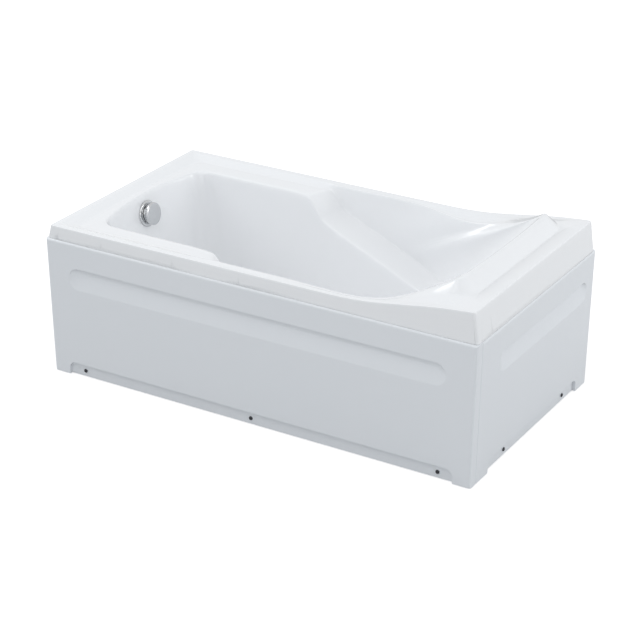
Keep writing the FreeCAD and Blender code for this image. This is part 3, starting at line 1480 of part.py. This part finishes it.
def swept(path, radius):
    """A round bar along a wire."""
    first = path.Edges[0]
    start = first.valueAt(first.FirstParameter)
    direction = first.tangentAt(first.FirstParameter)
    profile = Part.Wire([Part.Circle(start, direction, radius).toShape()])
    return path.makePipeShell([profile], True, False)


def make_pipes():
    """The overflow pipe, its two slip nuts, and the cable's sheath beside it."""
    reach = S.pipe_radius + S.pipe_fit + S.slip_nut_fit
    top = PORT_LOW + S.pipe_insertion
    end_x = WASTE_X - S.cup_radius - S.cup_port_length + S.pipe_insertion
    start = Vector(PIPE_X.value, 0, top.value)
    corner = Vector(PIPE_X.value, 0, S.pipe_height.value)
    end = Vector(end_x.value, 0, S.pipe_height.value)
    path = bent_line(start, corner, end, S.pipe_bend.value)
    outside = swept(path, S.pipe_radius.value)
    inside = swept(path, S.pipe_radius.value - S.pipe_wall.value)
    pipe = doc.addObject("Part::Feature", "overflow_pipe")
    pipe.Shape = outside.cut(inside)
    keep("overflow_pipe", pipe)
    nuts = [
        ring("slip_nut_top", S.slip_nut_radius, reach, S.slip_nut_height,
             (PIPE_X, ZERO, PORT_LOW - S.slip_nut_height)),
        ring("slip_nut_low", S.slip_nut_radius, reach, S.slip_nut_height,
             (WASTE_X - S.cup_radius - S.cup_port_length - S.slip_nut_height, ZERO, S.pipe_height), "x"),
    ]
    keep("slip_nuts", group("slip_nuts", nuts))
    cable_end = WASTE_X - S.cup_radius - CABLE_BOSS_OUT
    start = Vector(CABLE_X.value, S.cable_y.value, CABLE_TOP.value)
    corner = Vector(CABLE_X.value, S.cable_y.value, S.cable_height.value)
    end = Vector(cable_end.value, S.cable_y.value, S.cable_height.value)
    cable = doc.addObject("Part::Feature", "control_cable")
    cable.Shape = swept(bent_line(start, corner, end, S.cable_bend.value), S.cable_radius.value)
    keep("control_cable", cable)


# ---------------------------------------------------------------- build


def check_and_write():
    """Stops on any failed feature or broken solid, then writes each piece."""
    for thing in doc.Objects:
        if "Invalid" in thing.State or "Error" in thing.State:
            raise RuntimeError(f"{thing.Name} failed: {thing.State}")
    for thing in KEPT:
        shape = thing.Shape
        if shape.isNull() or not shape.isValid() or not shape.Solids:
            raise RuntimeError(f"{thing.Label} has no valid solid")
    os.makedirs("parts", exist_ok=True)
    for thing in KEPT:
        thing.Shape.exportStep(os.path.join("parts", thing.Label + ".step"))
    print(f"{len(KEPT)} pieces written")


def main():
    make_shell()
    make_skirts()
    make_skirt_fasteners()
    make_frame()
    make_cross_bars_and_board()
    make_packers()
    make_feet()
    make_waste()
    make_plug()
    make_overflow()
    make_pipes()
    doc.recompute()
    check_and_write()


main()
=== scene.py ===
"""The looks of a skirted acrylic bathtub, built round its fixed frame.

Metres. The origin is the centre of the footprint on the floor, +X points to the head end, +Y to
the wall behind the bath and +Z up.
"""

import json
import logging
import math
from dataclasses import dataclass, field
from enum import Enum

import bmesh
import bpy
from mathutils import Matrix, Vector

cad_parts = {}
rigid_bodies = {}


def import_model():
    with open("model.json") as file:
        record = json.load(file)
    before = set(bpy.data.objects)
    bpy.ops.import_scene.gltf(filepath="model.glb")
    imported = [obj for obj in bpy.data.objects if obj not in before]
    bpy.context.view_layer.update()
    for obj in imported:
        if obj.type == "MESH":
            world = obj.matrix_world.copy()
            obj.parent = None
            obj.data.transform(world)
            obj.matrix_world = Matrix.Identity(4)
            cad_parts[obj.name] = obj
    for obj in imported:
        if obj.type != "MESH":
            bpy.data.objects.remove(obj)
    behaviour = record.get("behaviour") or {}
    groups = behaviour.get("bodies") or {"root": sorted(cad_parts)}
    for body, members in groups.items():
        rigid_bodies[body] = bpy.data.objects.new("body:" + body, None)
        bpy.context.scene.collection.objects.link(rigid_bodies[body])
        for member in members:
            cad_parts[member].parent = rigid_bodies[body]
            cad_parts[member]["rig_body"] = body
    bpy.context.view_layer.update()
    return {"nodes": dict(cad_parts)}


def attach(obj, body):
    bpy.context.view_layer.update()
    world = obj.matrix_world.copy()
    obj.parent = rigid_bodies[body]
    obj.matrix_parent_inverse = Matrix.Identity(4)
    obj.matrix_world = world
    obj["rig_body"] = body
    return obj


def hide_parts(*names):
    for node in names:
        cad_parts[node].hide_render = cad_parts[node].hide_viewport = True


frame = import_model()
LOG = logging.getLogger("bathtub")
Colour = tuple[float, float, float]
MERGE = 0.00002  # how near two corners are one
NOISE_ROUGHNESS = 0.55  # how much each finer octave of the clouds and the grain counts
CLOUD_DETAIL, GRAIN_DETAIL = 3.0, 5.0  # how many octaves they have
FACE_WEIGHT = 100  # the shading follows the largest face at a corner as far as it can


class Slot(Enum):
    """The material slot names that the finishes are labelled with."""

    ACRYLIC = "acrylic"
    SKIRT = "skirt_plastic"
    CHROME = "chrome"
    FASTENER = "fastener_steel"
    FRAME = "frame_steel"
    BOARD = "board_wood"
    FOOT = "foot_plastic"
    WASTE = "waste_plastic"
    RUBBER = "seal_rubber"
    BRASS = "stem_brass"
    SHEATH = "cable_sheath"


# ---------------------------------------------------------------- shared shader groups


def new_group(name: str, inputs: dict[str, float], outputs: tuple[str, ...]) -> bpy.types.NodeTree:
    """Starts a shader node group with plain number sockets.

    Args:
        name: the group's name.
        inputs: each input's name and default.
        outputs: the outputs' names.

    Returns:
        The group, with its input and output nodes in place.
    """
    group = bpy.data.node_groups.new(name, "ShaderNodeTree")
    for title, value in inputs.items():
        socket = group.interface.new_socket(name=title, in_out="INPUT", socket_type="NodeSocketFloat")
        socket.default_value = value
    group.interface.new_socket(name="Vector", in_out="INPUT", socket_type="NodeSocketVector")
    for title in outputs:
        group.interface.new_socket(name=title, in_out="OUTPUT", socket_type="NodeSocketFloat")
    group.nodes.new("NodeGroupInput")
    group.nodes.new("NodeGroupOutput")
    return group


def cloud_group() -> bpy.types.NodeTree:
    """Broad soft clouds and fine grain, each from 0 to 1, for colour, gloss and relief.

    Returns:
        The group, with inputs Broad and Fine, the sizes' inverses, and outputs Clouds and Grain.
    """
    group = new_group("clouds_and_grain", {"Broad": 6.0, "Fine": 400.0}, ("Clouds", "Grain"))
    start, end = group.nodes["Group Input"], group.nodes["Group Output"]
    for scale, title, detail in (("Broad", "Clouds", CLOUD_DETAIL), ("Fine", "Grain", GRAIN_DETAIL)):
        noise = group.nodes.new("ShaderNodeTexNoise")
        noise.inputs["Detail"].default_value = detail
        noise.inputs["Roughness"].default_value = NOISE_ROUGHNESS
        group.links.new(start.outputs["Vector"], noise.inputs["Vector"])
        group.links.new(start.outputs[scale], noise.inputs["Scale"])
        group.links.new(noise.outputs["Fac"], end.inputs[title])
    return group


# ---------------------------------------------------------------- finishes


@dataclass(frozen=True)
class Finish:
    """One surface: its two colours and how they mingle, its gloss and its relief."""

    name: str
    slot: Slot
    colour: Colour
    second: Colour
    roughness: float
    spread: float = 0.04
    metallic: float = 0.0
    coat: float = 0.0
    coat_roughness: float = 0.06
    broad: float = 6.0
    fine: float = 400.0
    relief: float = 0.05
    relief_height: float = 0.0004

    def material(self) -> bpy.types.Material:
        """Makes the material once, and gives the same one afterwards.

        Returns:
            The material.
        """
        made = bpy.data.materials.get(self.name)
        if made is None:
            made = bpy.data.materials.new(self.name)
            made.use_nodes = True
            self.wire(made.node_tree)
        return made

    def wire(self, tree: bpy.types.NodeTree) -> None:
        """Lays out the nodes.

        Args:
            tree: the material's node tree, holding a Principled BSDF.
        """
        shader = tree.nodes["Principled BSDF"]
        place = tree.nodes.new("ShaderNodeTexCoord")
        clouds = tree.nodes.new("ShaderNodeGroup")
        clouds.node_tree = bpy.data.node_groups.get("clouds_and_grain") or cloud_group()
        clouds.inputs["Broad"].default_value = self.broad
        clouds.inputs["Fine"].default_value = self.fine
        tree.links.new(place.outputs["Object"], clouds.inputs["Vector"])
        self.colour_nodes(tree, clouds, shader)
        gloss = tree.nodes.new("ShaderNodeMapRange")
        gloss.clamp = False
        gloss.inputs["To Min"].default_value = self.roughness - self.spread
        gloss.inputs["To Max"].default_value = self.roughness + self.spread
        tree.links.new(clouds.outputs["Clouds"], gloss.inputs["Value"])
        tree.links.new(gloss.outputs["Result"], shader.inputs["Roughness"])
        bump = tree.nodes.new("ShaderNodeBump")
        bump.inputs["Strength"].default_value = self.relief
        bump.inputs["Distance"].default_value = self.relief_height
        tree.links.new(clouds.outputs["Grain"], bump.inputs["Height"])
        tree.links.new(bump.outputs["Normal"], shader.inputs["Normal"])
        shader.inputs["Metallic"].default_value = self.metallic
        shader.inputs["Coat Weight"].default_value = self.coat
        shader.inputs["Coat Roughness"].default_value = self.coat_roughness

    def colour_nodes(self, tree: bpy.types.NodeTree, clouds: bpy.types.Node, shader: bpy.types.Node) -> None:
        """Feeds Base Color with the two colours, mixed by the clouds.

        Args:
            tree: the material's node tree.
            clouds: the node that holds the clouds and grain.
            shader: the Principled BSDF.
        """
        mix = tree.nodes.new("ShaderNodeMix")
        mix.data_type = "RGBA"
        mix.inputs["A"].default_value = (*self.colour, 1.0)
        mix.inputs["B"].default_value = (*self.second, 1.0)
        tree.links.new(clouds.outputs["Clouds"], mix.inputs["Factor"])
        tree.links.new(mix.outputs["Result"], shader.inputs["Base Color"])


ACRYLIC = Finish("white_acrylic", Slot.ACRYLIC, (0.92, 0.925, 0.935), (0.90, 0.91, 0.925), 0.22, 0.03,
                 coat=0.4, broad=3.0, fine=90.0, relief=0.03)
GLASS_FIBRE = Finish("glass_fibre_underside", Slot.ACRYLIC, (0.62, 0.60, 0.52), (0.5, 0.49, 0.43), 0.55,
                     0.1, broad=14.0, fine=160.0, relief=0.6, relief_height=0.002)
SKIRT = Finish("moulded_skirt", Slot.SKIRT, (0.83, 0.85, 0.875), (0.81, 0.835, 0.865), 0.3, 0.04,
               coat=0.25, broad=2.5, fine=120.0, relief=0.04)
CHROME = Finish("polished_chrome", Slot.CHROME, (0.70, 0.71, 0.72), (0.64, 0.65, 0.66), 0.09, 0.03,
                metallic=1.0, broad=40.0, fine=900.0, relief=0.02, relief_height=0.0001)
ZINC = Finish("zinc_plated_steel", Slot.FASTENER, (0.42, 0.42, 0.43), (0.30, 0.30, 0.31), 0.3, 0.08,
              metallic=1.0, broad=220.0, fine=1500.0, relief=0.1, relief_height=0.0002)
# Painted reflection: the screw heads are chrome domes, and this near-black colour paints in the dark
# surroundings they mirror.
SCREW_PAINTED_REFLECTION = Finish("screw_painted_dark_reflection", Slot.FASTENER, (0.10, 0.10, 0.11), (0.06, 0.06, 0.065), 0.25, 0.08,
               metallic=1.0, broad=220.0, fine=1500.0, relief=0.1, relief_height=0.0002)
FRAME_PAINT = Finish("painted_frame_tube", Slot.FRAME, (0.36, 0.37, 0.38), (0.30, 0.31, 0.32), 0.42, 0.06,
                     broad=18.0, fine=700.0, relief=0.25, relief_height=0.0003)
BOARD = Finish("resin_bonded_board", Slot.BOARD, (0.50, 0.36, 0.20), (0.34, 0.22, 0.11), 0.7, 0.08,
               broad=55.0, fine=300.0, relief=0.5, relief_height=0.0008)
FOOT_PLASTIC = Finish("black_foot_plastic", Slot.FOOT, (0.03, 0.03, 0.032), (0.045, 0.045, 0.047), 0.5, 0.08,
                      broad=60.0, fine=900.0, relief=0.2, relief_height=0.0002)
WASTE_PLASTIC = Finish("grey_waste_plastic", Slot.WASTE, (0.60, 0.61, 0.62), (0.55, 0.56, 0.57), 0.38, 0.06,
                       broad=30.0, fine=600.0, relief=0.15, relief_height=0.0002)
RUBBER = Finish("black_seal_rubber", Slot.RUBBER, (0.02, 0.02, 0.02), (0.035, 0.035, 0.035), 0.75, 0.08,
                broad=80.0, fine=900.0, relief=0.3, relief_height=0.0002)
BRASS = Finish("turned_brass", Slot.BRASS, (0.72, 0.52, 0.24), (0.6, 0.42, 0.18), 0.28, 0.06,
               metallic=1.0, broad=90.0, fine=1200.0, relief=0.08, relief_height=0.0001)
SHEATH = Finish("cable_sheath_plastic", Slot.SHEATH, (0.10, 0.10, 0.11), (0.14, 0.14, 0.15), 0.5, 0.06,
                broad=70.0, fine=900.0, relief=0.2, relief_height=0.0002)


# ---------------------------------------------------------------- tools for meshes


def alone(piece: bpy.types.Object) -> None:
    """Makes one object the only one that is selected, and active.

    Args:
        piece: the object.
    """
    bpy.ops.object.select_all(action="DESELECT")
    piece.select_set(True)
    bpy.context.view_layer.objects.active = piece


def dress_node(name: str, finish: Finish) -> bpy.types.Object:
    """Gives a CAD node a finish.

    Args:
        name: the node.
        finish: the finish.

    Returns:
        The node's object.
    """
    node = frame["nodes"][name]
    node.data.materials.clear()
    node.data.materials.append(finish.material())
    LOG.info("%s: %s", name, finish.name)
    return node


def smooth_copy(node: str, title: str, finish: Finish, angle: float) -> bpy.types.Object:
    """Stands a merged, smooth-shaded copy in for a CAD node.

    Args:
        node: the CAD node.
        title: the new piece's name.
        finish: its finish.
        angle: the sharpest turn, in degrees, that still shades smooth.

    Returns:
        The new piece.
    """
    source = frame["nodes"][node]
    mesh = source.data.copy()
    piece = bpy.data.objects.new(title, mesh)
    bpy.context.scene.collection.objects.link(piece)
    mesh.name = title
    mesh.materials.clear()
    mesh.materials.append(finish.material())
    alone(piece)
    bpy.ops.object.mode_set(mode="EDIT")
    bpy.ops.mesh.select_all(action="SELECT")
    bpy.ops.mesh.remove_doubles(threshold=MERGE)
    bpy.ops.object.mode_set(mode="OBJECT")
    bpy.ops.object.shade_smooth_by_angle(angle=math.radians(angle))
    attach(piece, source["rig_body"])
    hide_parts(node)
    LOG.info("%s: %s, %d faces", title, finish.name, len(mesh.polygons))
    return piece


def flatten(piece: bpy.types.Object, turn: float) -> None:
    """Joins the loose triangles of each flat stretch into one face.

    Args:
        piece: the piece, merged.
        turn: the largest turn, in degrees, that still counts as flat.
    """
    alone(piece)
    bpy.ops.object.mode_set(mode="EDIT")
    bpy.ops.mesh.select_all(action="SELECT")
    bpy.ops.mesh.dissolve_limited(angle_limit=math.radians(turn))
    bpy.ops.object.mode_set(mode="OBJECT")


def soften(piece: bpy.types.Object, width: float, segments: int, sharpest: float) -> None:
    """Rounds every edge that turns by more than an angle, and keeps the flat faces flat in the shading.

    Args:
        piece: the piece.
        width: the rounding's width.
        segments: how many faces it has.
        sharpest: edges that turn less than this, in degrees, are left.
    """
    alone(piece)
    bevel = piece.modifiers.new("edges", "BEVEL")
    bevel.width = width
    bevel.segments = segments
    bevel.limit_method = "ANGLE"
    bevel.angle_limit = math.radians(sharpest)
    bevel.harden_normals = False
    bpy.ops.object.modifier_apply(modifier=bevel.name)
    bpy.ops.object.shade_smooth()
    weigh(piece)


def weigh(piece: bpy.types.Object) -> None:
    """Lets the large faces set the shading, so that only the roundings shade across.

    Args:
        piece: the piece.
    """
    alone(piece)
    shading = piece.modifiers.new("shading", "WEIGHTED_NORMAL")
    shading.weight = FACE_WEIGHT
    shading.keep_sharp = True
    bpy.ops.object.modifier_apply(modifier=shading.name)


# ---------------------------------------------------------------- sub-assemblies


@dataclass
class Shell:
    """The acrylic shell, white above and bare glass fibre below."""

    crease: float = 60.0
    apron_x: float = 0.738  # further out than this, only the apron is left
    apron_y: float = 0.388
    facing: float = 0.2  # how far a face of the apron turns outwards to be its moulded side
    zenith: Vector = field(default_factory=lambda: Vector((-0.1, 0.0, 3.0)))

    def build(self) -> None:
        """Makes the shell and gives its underside the glass fibre."""
        shell = smooth_copy("tub_shell", "bath_shell", ACRYLIC, self.crease)
        weigh(shell)
        shell.data.materials.append(GLASS_FIBRE.material())
        for face in shell.data.polygons:
            face.material_index = 0 if self.is_upper(face) else 1
        self.mend_islands(shell)

    def mend_islands(self, shell: bpy.types.Object) -> None:
        """Leaves one region of each material, and gives every stray patch the other one.

        Args:
            shell: the shell, with its faces told apart.
        """
        mesh = bmesh.new()
        mesh.from_mesh(shell.data)
        regions: list[list[bmesh.types.BMFace]] = []
        seen: set[bmesh.types.BMFace] = set()
        for first in mesh.faces:
            if first in seen:
                continue
            seen.add(first)
            region = [first]
            for face in region:
                for edge in face.edges:
                    for other in edge.link_faces:
                        if other not in seen and other.material_index == first.material_index:
                            seen.add(other)
                            region.append(other)
            regions.append(region)
        regions.sort(key=lambda region: sum(face.calc_area() for face in region), reverse=True)
        for region in regions[2:]:
            for face in region:
                face.material_index = 1 - face.material_index
        LOG.info("bath_shell: %d stray patches given their side's material", len(regions) - 2)
        mesh.to_mesh(shell.data)
        mesh.free()

    def is_upper(self, face: bpy.types.MeshPolygon) -> bool:
        """Tells the moulded face from the fibre side.

        Args:
            face: a face of the shell.

        Returns:
            True where the face can be seen with the bath in its place.
        """
        if face.normal.dot(self.zenith - face.center) > 0:
            return True
        outward = Vector((0.0, 0.0, 0.0))
        if abs(face.center.x) > self.apron_x:
            outward.x = math.copysign(1.0, face.center.x)
        if abs(face.center.y) > self.apron_y:
            outward.y = math.copysign(1.0, face.center.y)
        return face.normal.dot(outward) > self.facing


@dataclass
class Skirts:
    """The two moulded skirts and what fastens them."""

    crease: float = 11.0
    head_crease: float = 35.0
    flat: float = 0.3
    edge: float = 0.0012
    segments: int = 3

    def build(self) -> None:
        """Makes the skirts and dresses their screws, washers and clips."""
        for node in ("front_skirt", "end_skirt"):
            panel = smooth_copy(node, f"{node}_panel", SKIRT, self.crease)
            flatten(panel, self.flat)
            soften(panel, self.edge, self.segments, self.crease)
        # The screws take the near-black finish, a painted dark reflection.
        smooth_copy("skirt_screws", "skirt_screw_set", SCREW_PAINTED_REFLECTION, self.head_crease)
        smooth_copy("skirt_cup_washers", "skirt_cup_washer_set", SKIRT, self.head_crease)
        for name in ("skirt_brackets", "skirt_clip_nuts", "skirt_clips"):
            dress_node(name, ZINC)


@dataclass
class Overflow:
    """The chrome turn knob with its rosette, and the overflow behind the wall."""

    crease: float = 35.0

    def build(self) -> None:
        """Makes the chrome pieces and dresses the hidden ones."""
        smooth_copy("overflow_knob", "overflow_turn_knob", CHROME, self.crease)
        smooth_copy("overflow_rosette", "overflow_rosette_ring", CHROME, self.crease)
        smooth_copy("overflow_body", "overflow_housing", WASTE_PLASTIC, self.crease)
        smooth_copy("overflow_pipe", "overflow_bent_pipe", WASTE_PLASTIC, self.crease)
        smooth_copy("slip_nuts", "slip_nut_pair", WASTE_PLASTIC, self.crease)
        smooth_copy("control_cable", "control_cable_sheath", SHEATH, self.crease)
        dress_node("overflow_spindle", BRASS)
        dress_node("cable_drum", WASTE_PLASTIC)
        dress_node("overflow_gasket", RUBBER)


@dataclass
class Waste:
    """The pop-up waste in the floor."""

    crease: float = 35.0

    def build(self) -> None:
        """Makes the plug and flange and dresses the pieces below the floor."""
        smooth_copy("waste_flange", "waste_flange_ring", CHROME, self.crease)
        smooth_copy("waste_plug", "waste_plug_cap", CHROME, self.crease)
        smooth_copy("waste_body", "waste_cup", WASTE_PLASTIC, self.crease)
        dress_node("plug_seal", RUBBER)
        dress_node("plug_stem", BRASS)
        dress_node("lift_lever", BRASS)
        dress_node("lever_pin", ZINC)
        dress_node("waste_gasket", RUBBER)
        dress_node("waste_body_gasket", RUBBER)


@dataclass
class Frame:
    """The welded steel frame, its board, screws and packers."""

    def build(self) -> None:
        """Dresses the tubes, the board, its screws and the packers."""
        tubes = ("bottom_rail", "rim_rail", "upright", "bottom_bar", "rim_bar", "cross_bar")
        for name in sorted(frame["nodes"]):
            if name.startswith(tubes):
                dress_node(name, FRAME_PAINT)
        dress_node("base_board", BOARD)
        dress_node("board_screws", ZINC)
        dress_node("rim_packers", FOOT_PLASTIC)


@dataclass
class Feet:
    """The levelling feet."""

    crease: float = 35.0
    places: tuple[str, ...] = ("front_left", "back_left", "front_right", "back_right", "centre")

    def build(self) -> None:
        """Makes the rods and pads and dresses their nuts."""
        for place in self.places:
            smooth_copy(f"foot_rod_{place}", f"levelling_rod_{place}", ZINC, self.crease)
            smooth_copy(f"foot_pad_{place}", f"levelling_pad_{place}", FOOT_PLASTIC, self.crease)
        dress_node("foot_weld_nuts", ZINC)
        dress_node("foot_lock_nuts", ZINC)


# ---------------------------------------------------------------- floor, light and camera


@dataclass(frozen=True)
class Lamp:
    """One soft square lamp: where it hangs, what it points at, its side and its power in watts."""

    name: str
    place: tuple[float, float, float]
    target: tuple[float, float, float]
    size: float
    power: float

    def hang(self) -> None:
        """Hangs the lamp in the scene."""
        data = bpy.data.lights.new(self.name, "AREA")
        data.size = self.size
        data.energy = self.power
        lamp = bpy.data.objects.new(self.name, data)
        place, target = Vector(self.place), Vector(self.target)
        lamp.location = place
        lamp.rotation_euler = (target - place).to_track_quat("-Z", "Y").to_euler()
        bpy.context.scene.collection.objects.link(lamp)


@dataclass
class Studio:
    """A plain pale floor under soft light, with the camera at the photograph's angle."""

    floor_size: float = 60.0
    floor_colour: Colour = (0.55, 0.55, 0.55)
    floor_white: float = 0.66
    sky: float = 0.69
    sky_colour: Colour = (0.94, 0.97, 1.0)
    floor_roughness: float = 0.9
    floor_gloss: float = 0.1
    lamps: tuple[Lamp, ...] = (
        Lamp("foot_lamp", (-5.0, -0.5, 4.0), (0.2, 0.0, 0.4), 3.0, 96.0),
        Lamp("high_lamp", (0.2, -2.6, 3.6), (0.1, 0.1, 0.4), 2.6, 24.0),
        Lamp("side_lamp", (4.0, 1.6, 1.5), (0.6, 0.1, 0.3), 2.0, 40.0),
        Lamp("front_lamp", (3.6, -4.4, 1.8), (0.5, 0.0, 0.3), 2.0, 12.0),
    )
    focal_pixels: float = 2026.7
    picture: float = 640.0
    sensor: float = 36.0
    azimuth: float = 31.0525
    elevation: float = 25.1675
    camera_place: tuple[float, float, float] = (2.99848, -4.97284, 2.92615)
    far: float = 200.0

    def build(self) -> None:
        """Sets the view transform and makes the floor, the light and the camera."""
        bpy.context.scene.view_settings.view_transform = "Standard"
        self.make_floor()
        self.make_world()
        for lamp in self.lamps:
            lamp.hang()
        self.make_camera()

    def make_floor(self) -> None:
        """Lays the floor, which the camera sees nearly white, with the shadow kept."""
        bpy.ops.object.select_all(action="DESELECT")
        bpy.ops.mesh.primitive_plane_add(size=self.floor_size)
        floor = bpy.context.object
        floor.name = "studio_floor"
        material = bpy.data.materials.new("studio_floor_paint")
        material.use_nodes = True
        tree = material.node_tree
        shader = tree.nodes["Principled BSDF"]
        shader.inputs["Base Color"].default_value = (*self.floor_colour, 1.0)
        shader.inputs["Roughness"].default_value = self.floor_roughness
        shader.inputs["Specular IOR Level"].default_value = self.floor_gloss
        glow = tree.nodes.new("ShaderNodeEmission")
        path = tree.nodes.new("ShaderNodeLightPath")
        seen = tree.nodes.new("ShaderNodeMath")
        seen.operation = "MULTIPLY"
        seen.inputs[1].default_value = self.floor_white
        tree.links.new(path.outputs["Is Camera Ray"], seen.inputs[0])
        both = tree.nodes.new("ShaderNodeAddShader")
        tree.links.new(seen.outputs[0], glow.inputs["Strength"])
        tree.links.new(shader.outputs["BSDF"], both.inputs[0])
        tree.links.new(glow.outputs["Emission"], both.inputs[1])
        tree.links.new(both.outputs["Shader"], tree.nodes["Material Output"].inputs["Surface"])
        floor.data.materials.append(material)

    def make_world(self) -> None:
        """Fills the sky with soft light, and shows white behind the object and in its gloss."""
        world = bpy.data.worlds.new("studio_sky")
        bpy.context.scene.world = world
        world.use_nodes = True
        tree = world.node_tree
        light = tree.nodes["Background"]
        light.inputs["Color"].default_value = (*self.sky_colour, 1.0)
        light.inputs["Strength"].default_value = self.sky
        white = tree.nodes.new("ShaderNodeBackground")
        path = tree.nodes.new("ShaderNodeLightPath")
        both = tree.nodes.new("ShaderNodeMath")
        both.operation = "MAXIMUM"
        tree.links.new(path.outputs["Is Camera Ray"], both.inputs[0])
        tree.links.new(path.outputs["Is Glossy Ray"], both.inputs[1])
        every = tree.nodes.new("ShaderNodeMath")
        every.operation = "MAXIMUM"
        tree.links.new(both.outputs[0], every.inputs[0])
        tree.links.new(path.outputs["Is Transmission Ray"], every.inputs[1])
        mix = tree.nodes.new("ShaderNodeMixShader")
        tree.links.new(every.outputs[0], mix.inputs["Fac"])
        tree.links.new(light.outputs["Background"], mix.inputs[1])
        tree.links.new(white.outputs["Background"], mix.inputs[2])
        tree.links.new(mix.outputs["Shader"], tree.nodes["World Output"].inputs["Surface"])

    def make_camera(self) -> None:
        """Puts the camera where the photograph was taken from."""
        data = bpy.data.cameras.new("photo_camera")
        data.sensor_width = self.sensor
        data.lens = self.focal_pixels * self.sensor / self.picture
        data.clip_end = self.far
        camera = bpy.data.objects.new("photo_camera", data)
        camera.location = self.camera_place
        camera.rotation_euler = (math.radians(90.0 - self.elevation), 0.0, math.radians(self.azimuth))
        bpy.context.scene.collection.objects.link(camera)
        bpy.context.scene.camera = camera


def main() -> None:
    """Builds the sub-assemblies in order."""
    logging.basicConfig(level=logging.INFO, format="%(name)s: %(message)s")
    for part in (Studio(), Shell(), Skirts(), Overflow(), Waste(), Frame(), Feet()):
        LOG.info("building %s", type(part).__name__)
        part.build()


if __name__ == "__main__":
    main()
